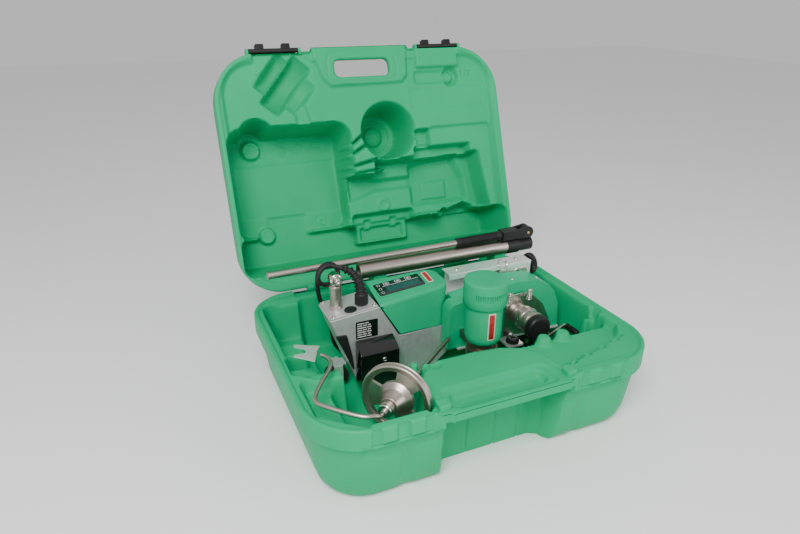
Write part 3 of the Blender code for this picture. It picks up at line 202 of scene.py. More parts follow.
def make_finishes():
    """Each finish is a material and the record's slot that it belongs to."""
    made = {}

    def finish(key, slot, *looks, **more):
        made[key] = (surface(*looks, **more), slot)

    finish("case", "green_plastic", "case_plastic", (0.0, 0.35, 0.135), (0.0, 0.39, 0.155), 0.46,
           blotch=7.0, grain=1400.0, wear=(0.0, 0.42, 0.17), Specular_IOR_Level=0.12)
    finish("green", "dark_green_plastic", "machine_plastic", (0.0, 0.345, 0.145), (0.0, 0.385, 0.165), 0.45,
           blotch=30.0, grain=2600.0, bump=0.00004, wear=(0.0, 0.42, 0.185), Specular_IOR_Level=0.16)
    finish("black", "black_plastic", "satin_black", (0.007, 0.007, 0.0075), (0.012, 0.012, 0.0125), 0.42,
           blotch=60.0, grain=2200.0, bump=0.00004, wear=(0.03, 0.03, 0.03), Specular_IOR_Level=0.3)
    finish("gloss", "gloss_black", "gloss_black", (0.003, 0.003, 0.0035), (0.006, 0.006, 0.0065), 0.07,
           blotch=40.0, grain=300.0, bump=0.000003, Coat_Weight=0.6, Coat_Roughness=0.03)
    finish("rubber", "rubber", "rubber", (0.008, 0.008, 0.0085), (0.015, 0.015, 0.0155), 0.6, blotch=90.0,
           grain=3000.0, bump=0.00006, Specular_IOR_Level=0.35)
    finish("steel", "steel", "steel", (0.50, 0.47, 0.43), (0.60, 0.565, 0.52), 0.28, 1.0, blotch=40.0,
           grain=1200.0, bump=0.000006, wear=(0.8, 0.78, 0.74))
    finish("tube", "steel", "tube_steel", (0.45, 0.40, 0.355), (0.52, 0.465, 0.415), 0.36, 1.0, blotch=12.0,
           bump=0.000008, stretch=(0.04, 1.0, 1.0))
    finish("chrome", "steel", "polished_steel", (0.60, 0.57, 0.53), (0.70, 0.67, 0.63), 0.16, 1.0,
           blotch=30.0, grain=700.0, bump=0.000004)
    finish("hot_steel", "steel", "heat_tinted_steel", (0.20, 0.165, 0.13), (0.30, 0.26, 0.21), 0.42, 1.0,
           blotch=25.0, bump=0.00001, stretch=(1.0, 1.0, 0.06))
    finish("cast", "aluminium", "blasted_aluminium", (0.46, 0.465, 0.47), (0.62, 0.625, 0.63), 0.5, 0.7,
           blotch=150.0, grain=1800.0, bump=0.00003, wear=(0.72, 0.72, 0.72))
    finish("bright", "aluminium", "milled_aluminium", (0.78, 0.785, 0.79), (0.88, 0.885, 0.89), 0.34, 0.75,
           blotch=30.0, grain=500.0, bump=0.000001, stretch=(0.05, 1.0, 1.0), wear=(0.92, 0.92, 0.92))
    finish("brass", "brass", "brass", (0.52, 0.35, 0.12), (0.66, 0.47, 0.19), 0.3, 1.0, blotch=50.0,
           bump=0.00001)
    finish("board", "board", "circuit_board", (0.01, 0.13, 0.05), (0.03, 0.2, 0.09), 0.4, blotch=90.0)
    finish("ceramic", "ceramic", "ceramic", (0.72, 0.7, 0.64), (0.84, 0.82, 0.77), 0.75, blotch=60.0,
           bump=0.00008)
    finish("red", "gloss_black", "red_label", (0.30, 0.008, 0.01), (0.38, 0.014, 0.016), 0.3, blotch=60.0,
           bump=0.000005)
    finish("pale", "gloss_black", "label_border", (0.62, 0.55, 0.46), (0.72, 0.66, 0.57), 0.4, blotch=60.0,
           bump=0.000005)
    finish("print", "gloss_black", "white_print", (0.55, 0.56, 0.56), (0.66, 0.67, 0.67), 0.4, blotch=60.0,
           bump=0.000005)
    finish("lcd", "gloss_black", "display_glass", (0.008, 0.055, 0.05), (0.012, 0.075, 0.068), 0.15,
           blotch=20.0, grain=300.0, bump=0.000002)
    return made


# ---------------------------------------------------------------- mesh helpers

def gather(forms):
    """One form of several closed ones."""
    verts, faces = [], []
    for more_verts, more_faces in forms:
        base = len(verts)
        verts.extend(tuple(v) for v in more_verts)
        faces.extend(tuple(base + i for i in face) for face in more_faces)
    return verts, faces


def mesh_of(name, form):
    """Mesh in metres, with its faces pointing out, of a form in millimetres."""
    verts, faces = gather(form) if isinstance(form, list) else form
    mesh = bpy.data.meshes.new(name)
    mesh.from_pydata((np.asarray(verts, float) * MM).tolist(), [], [list(map(int, f)) for f in faces])
    bm = bmesh.new()
    bm.from_mesh(mesh)
    bmesh.ops.recalc_face_normals(bm, faces=bm.faces)
    bm.to_mesh(mesh)
    bm.free()
    return mesh


def piece(name, form, body, finish, replaces=(), bevel=0.0, angle=38.0):
    """Object of one form, or of a list of them, that rides on a body."""
    mesh = mesh_of(name, form)
    mesh.shade_smooth()
    mesh.set_sharp_from_angle(angle=radians(angle))
    obj = bpy.data.objects.new(name, mesh)
    SCENE.collection.objects.link(obj)
    if bevel:
        round_edges(obj, bevel)
    return settle(obj, body, finish, replaces)


def settle(obj, body, finish, replaces=()):
    """Give a piece its material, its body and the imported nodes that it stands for."""
    material, slot = FINISH[finish]
    obj.data.materials.append(material)
    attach(obj, body)
    if replaces:
        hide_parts(*replaces)
    return obj


def round_edges(obj, width, segments=3):
    bevel = obj.modifiers.new("round_edges", "BEVEL")
    bevel.width = width * MM
    bevel.segments = segments
    bevel.limit_method = "ANGLE"
    bevel.angle_limit = radians(32.0)
    bevel.use_clamp_overlap = True
    normals = obj.modifiers.new("even_normals", "WEIGHTED_NORMAL")
    normals.keep_sharp = False


def dress(node, finish, bevel=0.5):
    """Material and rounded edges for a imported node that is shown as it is."""
    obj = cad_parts[node]
    obj.data.materials.clear()
    obj.data.materials.append(FINISH[finish][0])
    obj.data.polygons.foreach_set("use_smooth", [True] * len(obj.data.polygons))
    weld = obj.modifiers.new("weld", "WELD")
    weld.merge_threshold = 0.00001
    round_edges(obj, bevel, 2)


def axes_of(direction):
    """Rows: two directions across and the direction itself."""
    z = np.asarray(direction, float)
    z = z / np.linalg.norm(z)
    helper = np.array([0.0, 0.0, 1.0]) if abs(z[2]) < 0.9 else np.array([1.0, 0.0, 0.0])
    x = np.cross(helper, z)
    x = x / np.linalg.norm(x)
    return np.array([x, np.cross(z, x), z])


def fillet(points, radius, steps=4):
    """Polyline with its inner corners rounded."""
    points = [np.asarray(p, float) for p in points]
    made = [points[0]]
    for before, corner, after in zip(points, points[1:], points[2:]):
        a, b = before - corner, after - corner
        reach = min(radius, np.linalg.norm(a) * 0.45, np.linalg.norm(b) * 0.45)
        start = corner + a / np.linalg.norm(a) * reach
        end = corner + b / np.linalg.norm(b) * reach
        for i in range(steps + 1):
            t = i / steps
            made.append((1 - t) ** 2 * start + 2 * t * (1 - t) * corner + t * t * end)
    made.append(points[-1])
    return made


def lathe(profile, base, axis=(0.0, 0.0, 1.0), sides=72, ripple=None):
    """Turned form. A profile whose ends lie on the axis is solid, and any other is closed into a ring."""
    across, other, along = axes_of(axis)
    base = np.asarray(base, float)
    turned = np.arange(sides) * 2 * pi / sides
    verts, rings = [], []
    for radius, height in profile:
        if radius < 1e-6:
            rings.append([len(verts)])
            verts.append(base + along * height)
            continue
        radii = np.full(sides, float(radius))
        if ripple is not None:
            radii = radii + ripple(turned, height, radius)
        rings.append(list(range(len(verts), len(verts) + sides)))
        for a, r in zip(turned, radii):
            verts.append(base + across * cos(a) * r + other * sin(a) * r + along * height)
    pairs = list(zip(rings, rings[1:]))
    if len(rings[0]) > 1:
        pairs.append((rings[-1], rings[0]))
    faces = []
    for low, high in pairs:
        for i in range(sides):
            j = (i + 1) % sides
            if len(low) == 1:
                faces.append((low[0], high[j], high[i]))
            elif len(high) == 1:
                faces.append((low[i], low[j], high[0]))
            else:
                faces.append((low[i], low[j], high[j], high[i]))
    return verts, faces


def pipe(start, end, radius, bore, sides=64, lip=0.6):
    """Straight tube with rounded ends and a through bore."""
    length = float(np.linalg.norm(np.subtract(end, start)))
    profile = [(bore, 0.0), (radius - lip, 0.0), (radius, lip), (radius, length - lip),
               (radius - lip, length), (bore, length)]
    return lathe(profile, start, np.subtract(end, start), sides)


def smooth_route(knots, spacing):
    """Points about spacing apart on a Catmull-Rom curve through the knots."""
    knots = [np.asarray(k, float) for k in knots]
    ends = [2 * knots[0] - knots[1]] + knots + [2 * knots[-1] - knots[-2]]
    points = [knots[0]]
    for i in range(1, len(ends) - 2):
        a, b, c, d = ends[i - 1:i + 3]
        steps = max(2, round(float(np.linalg.norm(c - b)) / spacing))
        for step in range(1, steps + 1):
            t = step / steps
            points.append(0.5 * (2 * b + (c - a) * t + (2 * a - 5 * b + 4 * c - d) * t ** 2
                                 + (3 * b - 3 * c + d - a) * t ** 3))
    return points


def tube(points, radii, sides=20):
    """Closed tube along points; radii is one number or one for each point."""
    points = np.asarray(points, float)
    radii = np.broadcast_to(radii, (len(points),))
    tangents = np.gradient(points, axis=0)
    tangents /= np.linalg.norm(tangents, axis=1)[:, None]
    across = axes_of(tangents[0])[0]
    verts, faces = [], []
    for point, tangent, radius in zip(points, tangents, radii):
        across = across - tangent * (across @ tangent)
        across /= np.linalg.norm(across)
        other = np.cross(tangent, across)
        for i in range(sides):
            a = 2 * pi * i / sides
            verts.append(point + (across * cos(a) + other * sin(a)) * radius)
    for ring in range(len(points) - 1):
        for i in range(sides):
            j = (i + 1) % sides
            faces.append((ring * sides + i, ring * sides + j, (ring + 1) * sides + j, (ring + 1) * sides + i))
    faces.append(tuple(range(sides)))
    faces.append(tuple((len(points) - 1) * sides + i for i in range(sides)))
    return verts, faces


def loft(rings):
    """Closed form through rings of as many points each."""
    count = len(rings[0])
    verts = [p for ring in rings for p in ring]
    faces = []
    for k in range(len(rings) - 1):
        for i in range(count):
            j = (i + 1) % count
            faces.append((k * count + i, k * count + j, (k + 1) * count + j, (k + 1) * count + i))
    faces.append(tuple(range(count)))
    faces.append(tuple((len(rings) - 1) * count + i for i in range(count)))
    return verts, faces


def slab(outline, low, high, axis="Z"):
    """Flat outline with thickness. For axis Y the outline is (x, z), for X it is (y, z)."""
    order = {"Z": (0, 1, 2), "Y": (0, 2, 1), "X": (2, 0, 1)}[axis]
    return loft([[tuple((u, v, w)[i] for i in order) for u, v in outline] for w in (low, high)])


def block(x, y, z):
    return slab([(x[0], y[0]), (x[1], y[0]), (x[1], y[1]), (x[0], y[1])], z[0], z[1])


def arc(centre, radius, start, end, steps):
    """Points on an arc in degrees, both ends included."""
    return [(centre[0] + radius * cos(radians(start + (end - start) * i / steps)),
             centre[1] + radius * sin(radians(start + (end - start) * i / steps))) for i in range(steps + 1)]


def round_rect(x, y, radius, steps=6):
    return (arc((x[1] - radius, y[0] + radius), radius, -90, 0, steps)
            + arc((x[1] - radius, y[1] - radius), radius, 0, 90, steps)
            + arc((x[0] + radius, y[1] - radius), radius, 90, 180, steps)
            + arc((x[0] + radius, y[0] + radius), radius, 180, 270, steps))


def carried(form, matrix, offset=(0.0, 0.0, 0.0)):
    """The form with its points turned by a 3 by 3 matrix (columns are the new axes) and moved."""
    verts, faces = form
    return np.asarray(verts, float) @ np.asarray(matrix, float).T + np.asarray(offset, float), faces


def open_lid(form):
    """A form drawn on the closed lid, swung to the open position."""
    verts, faces = form
    verts = np.asarray(verts, float) - (0.0, HINGE_Y, HINGE_Z)
    c, s = cos(-LID_OPEN), sin(-LID_OPEN)
    x, y, z = verts.T
    return np.stack([x, y * c - z * s, y * s + z * c], axis=1) + (0.0, HINGE_Y, HINGE_Z), faces


# ---------------------------------------------------------------- height fields of the moulded case

def ramp(s, ease=1.6):
    """max(s, 0) with a rounded corner."""
    return np.where(s <= -ease, 0.0, np.where(s >= ease, s, (s + ease) ** 2 / (4 * ease)))


def within(s, draft):
    """0 outside a pocket's edge and 1 once past its draft, from the distance s inside the edge."""
    return (ramp(s) - ramp(s - draft)) / draft


def rect(x, y, xs, ys, radius):
    """Distance inside a rounded rectangle, negative outside."""
    qx = np.abs(x - (xs[0] + xs[1]) / 2) - (xs[1] - xs[0]) / 2 + radius
    qy = np.abs(y - (ys[0] + ys[1]) / 2) - (ys[1] - ys[0]) / 2 + radius
    return radius - np.hypot(np.maximum(qx, 0), np.maximum(qy, 0)) - np.minimum(np.maximum(qx, qy), 0)


def disc(x, y, centre, radius):
    """Distance inside a circle, negative outside."""
    return radius - np.hypot(x - centre[0], y - centre[1])


def polygon(x, y, corners, radius=5.0):
    """Distance inside a polygon with rounded corners, negative outside."""
    corners = np.asarray(corners, float)
    after = np.roll(corners, -1, axis=0)
    area = np.sum(corners[:, 0] * after[:, 1] - after[:, 0] * corners[:, 1])
    if area < 0:
        corners = corners[::-1]
    before, after = np.roll(corners, 1, axis=0), np.roll(corners, -1, axis=0)
    into, out = corners - before, after - corners
    into /= np.linalg.norm(into, axis=1)[:, None]
    out /= np.linalg.norm(out, axis=1)[:, None]
    left_in = np.stack([-into[:, 1], into[:, 0]], axis=1)
    left_out = np.stack([-out[:, 1], out[:, 0]], axis=1)
    half = left_in + left_out
    corners = corners + half * (2 * radius / np.sum(half * half, axis=1))[:, None]
    nearest = np.full(x.shape, 1e9)
    inside = np.zeros(x.shape, bool)
    for a, b in zip(corners, np.roll(corners, -1, axis=0)):
        ex, ey = b - a
        wx, wy = x - a[0], y - a[1]
        t = np.clip((wx * ex + wy * ey) / (ex * ex + ey * ey), 0, 1)
        nearest = np.minimum(nearest, np.hypot(wx - ex * t, wy - ey * t))
        rising = (y >= a[1]) & (y < b[1]) & (ex * wy > ey * wx)
        falling = (y < a[1]) & (y >= b[1]) & (ex * wy < ey * wx)
        inside ^= rising | falling
    return radius + np.where(inside, nearest, -nearest)


def outline_distance(x, y):
    """Distance inside the case's outline."""
    cx = (CASE_LEFT + CASE_RIGHT) / 2
    radius = np.where(y < 0, FRONT_CORNER, BACK_CORNER)
    qx = np.abs(x - cx) - (CASE_RIGHT - CASE_LEFT) / 2 + radius
    qy = np.abs(y) - CASE_HALF_DEPTH + radius
    return radius - np.hypot(np.maximum(qx, 0), np.maximum(qy, 0)) - np.minimum(np.maximum(qx, qy), 0)


CELL = 2.2
EDGE_BAND = 30.0
EDGE_STEPS = 22


def grid_lines(half):
    outer = np.linspace(half - EDGE_BAND, half, EDGE_STEPS + 1)[1:]
    inner = np.linspace(-(half - EDGE_BAND), half - EDGE_BAND, int(round(2 * (half - EDGE_BAND) / CELL)) + 1)
    return np.concatenate([-outer[::-1], inner, outer]) / half


def case_grid():
    """x and y of a grid that is warped to end on the case's outline."""
    half_x = (CASE_RIGHT - CASE_LEFT) / 2
    cx = (CASE_LEFT + CASE_RIGHT) / 2
    u, v = np.meshgrid(grid_lines(half_x), grid_lines(CASE_HALF_DEPTH), indexing="ij")
    share = np.maximum(np.maximum(np.abs(u), np.abs(v)), 1e-9)
    edge_x, edge_y = u / share * half_x, v / share * CASE_HALF_DEPTH
    low, high = np.full(u.shape, 0.5), np.full(u.shape, 1.001)
    for _ in range(34):
        middle = (low + high) / 2
        inside = outline_distance(cx + edge_x * middle, edge_y * middle) > 0
        low = np.where(inside, middle, low)
        high = np.where(inside, high, middle)
    return cx + edge_x * low * share, edge_y * low * share


GRID_X, GRID_Y = case_grid()
GRID_D = outline_distance(GRID_X, GRID_Y)


def carve(z, s, floor, draft):
    """Heights taken to a floor inside a shape, over a sloping edge."""
    return z + (floor - z) * within(s, draft)


class Relief:
    """Heights over the case's grid, with pockets cut into them one after another."""

    def __init__(self, across, heights):
        self.across = across
        self.z = heights

    def cut(self, inside, floor, draft, deepen=False):
        """Go to the floor past the pocket's edge, or with deepen only where the floor lies further in."""
        cut = carve(self.z, inside, floor, draft)
        self.z = np.maximum(self.z, cut) if deepen else cut

    def box(self, xs, ys, radius, floor, draft, deepen=False):
        self.cut(rect(GRID_X, self.across, xs, ys, radius), floor, draft, deepen)

    def dish(self, centre, radius, floor, draft):
        self.cut(disc(GRID_X, self.across, centre, radius), floor, draft)

    def pocket(self, corners, radius, floor, draft, deepen=False):
        self.cut(polygon(GRID_X, self.across, corners, radius), floor, draft, deepen)

    def groove(self, start, end, half, floor, draft):
        self.cut(segment(GRID_X, self.across, start, end, half), floor, draft)


def rim_round():
    """How far the rounded rim lies behind its flat face."""
    edge = np.clip(1 - GRID_D / RIM_ROUND, 0, 1)
    return RIM_ROUND * (1 - np.sqrt(1 - edge ** 2)) * (GRID_D < RIM_ROUND)


def perimeter(shape):
    """Grid indices round the edge, counter-clockwise seen from above."""
    rows, columns = shape
    index = np.arange(rows * columns).reshape(shape)
    return np.concatenate([index[:-1, 0], index[-1, :-1], index[:0:-1, -1], index[0, :0:-1]])


def edge_normals():
    """Outward directions of the case's outline at the grid's edge points."""
    edge = perimeter(GRID_X.shape)
    x, y = GRID_X.ravel()[edge], GRID_Y.ravel()[edge]
    step = 0.05
    across = np.stack([outline_distance(x - step, y) - outline_distance(x + step, y),
                       outline_distance(x, y - step) - outline_distance(x, y + step)], axis=1)
    return across / np.linalg.norm(across, axis=1)[:, None]


def case_shell(x, y, z, levels, inset_at, front_shape, closing):
    """Closed form: the height field, an outer wall down its edge, and a flat end."""
    grid = np.arange(x.size).reshape(x.shape)
    verts = [np.stack([x.ravel(), y.ravel(), z.ravel()], axis=1)]
    quads = np.stack([grid[:-1, :-1], grid[1:, :-1], grid[1:, 1:], grid[:-1, 1:]], axis=-1).reshape(-1, 4)
    faces = [quads]
    edge = perimeter(x.shape)
    outward = edge_normals()
    start = np.stack([GRID_X.ravel()[edge], GRID_Y.ravel()[edge]], axis=1)
    last, total, count = edge, x.size, len(edge)
    for level in levels + closing:
        height, more = level if isinstance(level, tuple) else (level, 0.0)
        ring = start - outward * (inset_at(height) + more)
        ring[:, 1] = front_shape(ring[:, 0], ring[:, 1], height, outward, more)
        verts.append(np.column_stack([ring, np.full(count, height)]))
        here = np.arange(total, total + count)
        faces.append(np.stack([last, here, np.roll(here, -1), np.roll(last, -1)], axis=1))
        last, total = here, total + count
    return np.concatenate(verts), [tuple(q) for q in np.concatenate(faces)] + [tuple(last)]


def notch_depth(x):
    """How far the finger space behind the handle bar cuts in, from the middle outwards."""
    return np.interp(np.abs(x), (78.0, 92.0, 110.0), (59.4, 51.4, 0.0))


def bar_share(x):
    """1 along the handle bar, 0 beyond its ends."""
    return np.clip((103.0 - np.abs(x)) / 4.0, 0.0, 1.0)


def band(value, low, high, ease=1.5):
    return np.clip((value - low) / ease + 0.5, 0, 1) * np.clip((high - value) / ease + 0.5, 0, 1)


# ---------------------------------------------------------------- case base

BASE_INSETS = ((0.0, 40.0), (4.0, 30.0), (14.0, 23.0), (30.0, 18.0), (106.0, 9.0), (108.5, 0.6), (110.0, 0.0))


def base_heights():
    base = Relief(GRID_Y, np.full(GRID_X.shape, RIM_Z))
    base.cut(GRID_D - RIM_WIDTH, 138.4, 1.2)
    base.box((-206, 206), (203, 250), 3.0, 136.0, 2.0)
    base.box((-278, 284), (-84, 207), 62.0, 132.0, 9.0)
    base.box((-274, -190), (-52, 192), 20.0, 62.0, 11.0)
    base.box((-274, -222), (56, 110), 8.0, 100.0, 8.0)
    base.box((-280, -226), (-52, 4), 9.0, 116.0, 8.0)
    base.pocket([(-277, -64), (-228, -72), (-192, -74), (-182, -90), (-84, -90), (-84, -206), (-214, -212),
                 (-277, -160)], 16.0, 116.0, 9.0)
    base.box((-234, -92), (-200, -74), 24.0, 70.0, 13.0)
    base.pocket([(6, -76), (6, -100), (52, -106), (86, -122), (104, -148), (110, -188), (136, -178),
                 (262, -150), (284, -118), (284, -76)], 6.0, 124.0, 7.0)
    base.box((-206, 281), (-99, 202), 16.0, 24.0, 10.0)
    # the raised block that the hand hole is cut in, and the guide roller's bed
    base.pocket([(-126, -240), (-121, -150), (-100, -118), (-60, -96), (52, -102), (87, -118), (106, -146),
                 (114, -186), (116, -240)], 6.0, 139.2, 7.0)
    along, across = roller_coordinates(GRID_X, GRID_Y)
    room = np.minimum(np.minimum(along + 16.0, 26.0 - along), 57.5 - np.abs(across))
    floor = ROLLER_CENTRE[2] + along * sin(ROLLER_TILT) - np.sqrt(np.maximum(57.8 ** 2 - across ** 2, 0.0))
    base.z = np.minimum(base.z, carve(base.z, room, floor, 4.0))
    for centre in ((-94, -87), (-70, -109)):
        base.dish(centre, 12.5, 134.0, 6.0)
    for centre in ((141, -102), (181, -100)):
        base.dish(centre, 17.0, 137.0, 7.0)
    base.box((254, 290), (-74, -48), 7.0, 120.0, 8.0)
    # moulded wrench outline on the right of the front ledge
    start, reach, rise = (118, -186), 144, 38
    base.groove(start, (start[0] + reach, start[1] + rise), 6.5, 117.0, 5.0)
    for share in (0.10, 0.36, 0.62, 0.86):
        px, py = start[0] + reach * share, start[1] + rise * share
        base.box((px - 9, px + 9), (py - 9, py + 4), 2.5, 119.0, 4.0)
        base.box((px + 9, px + 20), (py + 4, py + 14), 2.5, 119.0, 4.0)
    base.box((-98, 92), (-216, -171), 16.0, 135.6, 2.5)
    base.box((-86, 78), (-210, -177), 13.0, 123.5, 6.0)
    for x in (-LATCH_X, LATCH_X):
        base.box((x - 44, x + 44), (-240, -207), 3.0, RIM_Z, 1.5)
    return base.z - rim_round()


def roller_coordinates(x, y):
    """Distance along the stored roller's axis, and level distance across it."""
    dx, dy = x - ROLLER_CENTRE[0], y - ROLLER_CENTRE[1]
    c, s = cos(ROLLER_HEADING), sin(ROLLER_HEADING)
    return dx * c + dy * s, dy * c - dx * s


def base_front(x, y, height, outward, more):
    """y of the outer wall with what is moulded into its front face."""
    level = np.full(x.shape, height)
    face = np.clip((-outward[:, 1] - 0.75) / 0.2, 0, 1)
    out = BAR_OUT * bar_share(x) * band(level, 123.6, 200.0, 2.0)
    for side in (-1, 1):
        lug, latch = side * LUG_X, side * LATCH_X
        out = out + 3.2 * band(x, lug - 9, lug + 9) * band(level, 113.0, 200.0, 2.0)
        seat = band(x, latch - 45, latch + 45) * band(level, 111.0, 200.0, 2.0)
        pads = sum(band(x, latch + mid - 11, latch + mid + 11) for mid in (-21, 21))
        out = out - 3.0 * seat + 4.6 * seat * pads * band(level, 117.0, 200.0, 1.5)
    stems = (polygon(x, level, [(-230, 113), (-230, 87), (-169, 76), (-169, -9), (-147, -9), (-147, 81),
                                (-114, 85), (-114, 113)], 0.5),
             polygon(x, level, [(108, 113), (108, 78), (133, 86), (133, -9), (151, -9), (151, 84), (206, 93),
                                (206, 113)], 0.5))
    for stem in stems:
        out = out - 2.2 * within(stem, 1.2)
    y = y - out * face
    cut = np.maximum(y, -CASE_HALF_DEPTH + notch_depth(x)) - y
    grooves = sum(band(x, line - 1.5, line + 1.5, 1.0) for line in (-38, 12, 58))
    grooves = grooves * band(level, -9.0, 66.0, 3.0)
    return y + (cut + 1.6 * grooves) * band(level, -99.0, 123.4, 1.6) * (notch_depth(x) > 0)


def shifted_front(y):
    """The rim's front edge moved out along the handle bar."""
    keep = np.clip(1 - (GRID_D - 6.0) / 10.0, 0, 1) * (GRID_Y < -150)
    return y - BAR_OUT * bar_share(GRID_X) * keep


def front_edge(y, wall_front, height):
    """Grid y whose edge points lie where the outer wall starts."""
    edge = perimeter(GRID_X.shape)
    flat = y.ravel().copy()
    flat[edge] = wall_front(GRID_X.ravel()[edge], GRID_Y.ravel()[edge], height, edge_normals(), 0.0)
    return flat.reshape(y.shape)


def make_case_base():
    z = base_heights()
    y = front_edge(shifted_front(GRID_Y.copy()), base_front, RIM_Z - RIM_ROUND)
    # the wall's rings, close together where its shape changes
    levels = list(np.arange(138.0, 126.0, -2.0))
    levels += [126.0, 125.0, 124.2, 123.4, 122.6, 121.8, 120.0, 118.5, 117.5, 116.0, 113.5]
    levels += list(np.arange(112.0, 105.0, -1.0)) + list(np.arange(103.0, 15.0, -3.0))
    levels += [14.0, 11.0, 8.0, 6.0, 4.0, 2.5, 1.2, 0.4, 0.0]
    heights, insets = zip(*BASE_INSETS)
    form = case_shell(GRID_X, y, z, levels, lambda h: float(np.interp(h, heights, insets)), base_front, [])
    piece("case_base_moulding", form, "case", "case", ("case_base",), angle=60.0)
    extras = []
    for side in (-1, 1):
        x = side * LUG_X
        extras.append(slab(round_rect((x - 9, x + 9), (-221.4, -203.0), 3.0), 130.0, 149.0))
        x = side * KNUCKLE_X
        extras.append(lathe(fillet([(2.6, 0.0), (7.0, 0.0), (7.0, 28.0), (2.6, 28.0)], 1.0),
                         (x - 14.0, HINGE_Y, HINGE_Z), (1, 0, 0), 40))
    piece("case_lugs_and_knuckles", extras, "case", "case", bevel=1.8)
    for number, x in enumerate((-58.0, 204.0)):
        cradle = [(BAR_Y - 10.0, 20.0), (BAR_Y + 24.0, 20.0), (BAR_Y + 20.0, 188.0)]
        cradle += arc((BAR_Y, BIG_TUBE_Z), 15.5, -23, -130, 14)
        piece("tube_saddle_%d" % (number + 1), slab(cradle, x - 13.0, x + 13.0, "X"), "case", "case",
              bevel=1.5)


# ---------------------------------------------------------------- case lid

LID_INSETS = ((0.0, 0.0), (33.0, 0.0), (34.5, 0.6), (36.0, 5.0), (96.0, 7.5), (112.0, 11.0), (120.0, 16.0),
              (126.0, 23.0), (129.0, 30.0), (130.0, 36.0))


def lid_depths():
    """Depth of the lid's inner face above the rim plane, drawn by distance from the hinge line."""
    lid = Relief(CASE_HALF_DEPTH - GRID_Y, np.zeros(GRID_X.shape))
    lid.cut(GRID_D - RIM_WIDTH, 3.0, 1.2)
    lid.box((-281, 287), (13, 434), 66.0, 12.0, 7.0)
    lid.pocket([(-118, 470), (-96, 424), (-86, 394), (-70, 377), (84, 379), (98, 394), (100, 424),
                (116, 470)], 6.0, 3.4, 6.0)
    lid.box((-75, 75), (385, 440), 16.0, 5.0, 1.5)
    lid.box((-71, 71), (389, 437), 14.0, 3.4, 1.5)
    for side, latch_floor in ((-1, 6.0 + 3.6), (1, 6.0 - 3.6)):
        lid.box((side * 166 - 50, side * 166 + 50), (407, 470), 5.0, latch_floor, 3.0)
        lid.box((side * LUG_X - 10.5, side * LUG_X + 10.5), (422, 445.5), 3.0, 9.0, 1.2, deepen=True)
    cut_machine_room(lid)
    cut_roller_room(lid)
    lid.pocket([(-148, 350), (-148, 296), (-112, 296), (-122, 350)], 3.0, np.maximum(lid.z, 19.0), 5.0)
    cut_lid_marks(lid)
    return lid.z + rim_round()


def cut_machine_room(lid):
    """Recesses over the machine, its guide bar and the blower."""
    left = rect(GRID_X, lid.across, (-285, -38), (93, 314), 34.0)
    for centre in ((-226, 294), (-214, 98)):
        left = np.maximum(left, disc(GRID_X, lid.across, centre, 36.0))
    lid.cut(left, 108.0, 14.0)
    lid.box((-287, 291), (34, 108), 18.0, 112.0, 10.0, deepen=True)
    lid.box((-218, -126), (60, 150), 12.0, 112.0, 10.0, deepen=True)
    lid.box((132, 280), (60, 289), 10.0, 19.0, 5.0, deepen=True)
    lid.pocket([(-70, 102), (-70, 208), (2, 208), (2, 232), (248, 232), (264, 102)], 9.0, 68.0, 10.0,
               deepen=True)
    lid.pocket([(-46, 148), (-46, 206), (-10, 206), (20, 196), (118, 196), (118, 166), (20, 166)], 4.0,
               80.0, 9.0)
    lid.pocket([(94, 124), (94, 218), (122, 226), (208, 234), (232, 178), (234, 124)], 9.0, 84.0, 12.0,
               deepen=True)
    lid.box((92, 230), (222, 250), 6.0, 46.0, 6.0, deepen=True)
    lid.box((100, 136), (236, 286), 6.0, 34.0, 5.0, deepen=True)
    lid.box((112, 132), (252, 262), 2.0, 30.0, 3.0)
    lid.box((124, 188), (136, 178), 3.0, 79.0, 4.0)
    # ribs that fan out between the left recess and the blower cup
    for start, end in (((-44, 262), (4, 296)), ((-44, 244), (0, 268)), ((-44, 222), (10, 232)),
                       ((-44, 206), (30, 212))):
        lid.groove(start, end, 4.5, 30.0, 4.0)
    cup = (BLOWER[0] - 2.0, CASE_HALF_DEPTH - BLOWER[1])
    for radius, floor, draft in ((60.0, 47.0, 8.0), (54.0, 104.0, 9.0), (36.0, 110.0, 2.5),
                                 (30.0, 114.0, 3.0), (21.0, 108.0, 2.5), (13.0, 106.0, 1.5)):
        lid.dish(cup, radius, floor, draft)


def cut_roller_room(lid):
    """Relief over the guide roller: three cylinders in line on its axis."""
    least = 12.0
    along, across = roller_coordinates(GRID_X, GRID_Y)
    for start, end, radius in ((-44.0, -14.0, 44.0), (-18.0, 26.0, 61.0), (20.0, 52.0, 42.0)):
        round_top = np.sqrt(np.maximum(radius ** 2 - across ** 2, 0.0))
        top = ROLLER_CENTRE[2] + along * sin(ROLLER_TILT) + round_top - LID_Z
        room = np.minimum(np.minimum(along - start, end - along) + 1.0, radius + 6.0 - np.abs(across))
        relief = carve(np.full_like(lid.z, least), room, np.maximum(top, least), 7.0)
        lid.z = np.maximum(lid.z, relief * (room > -2.0))


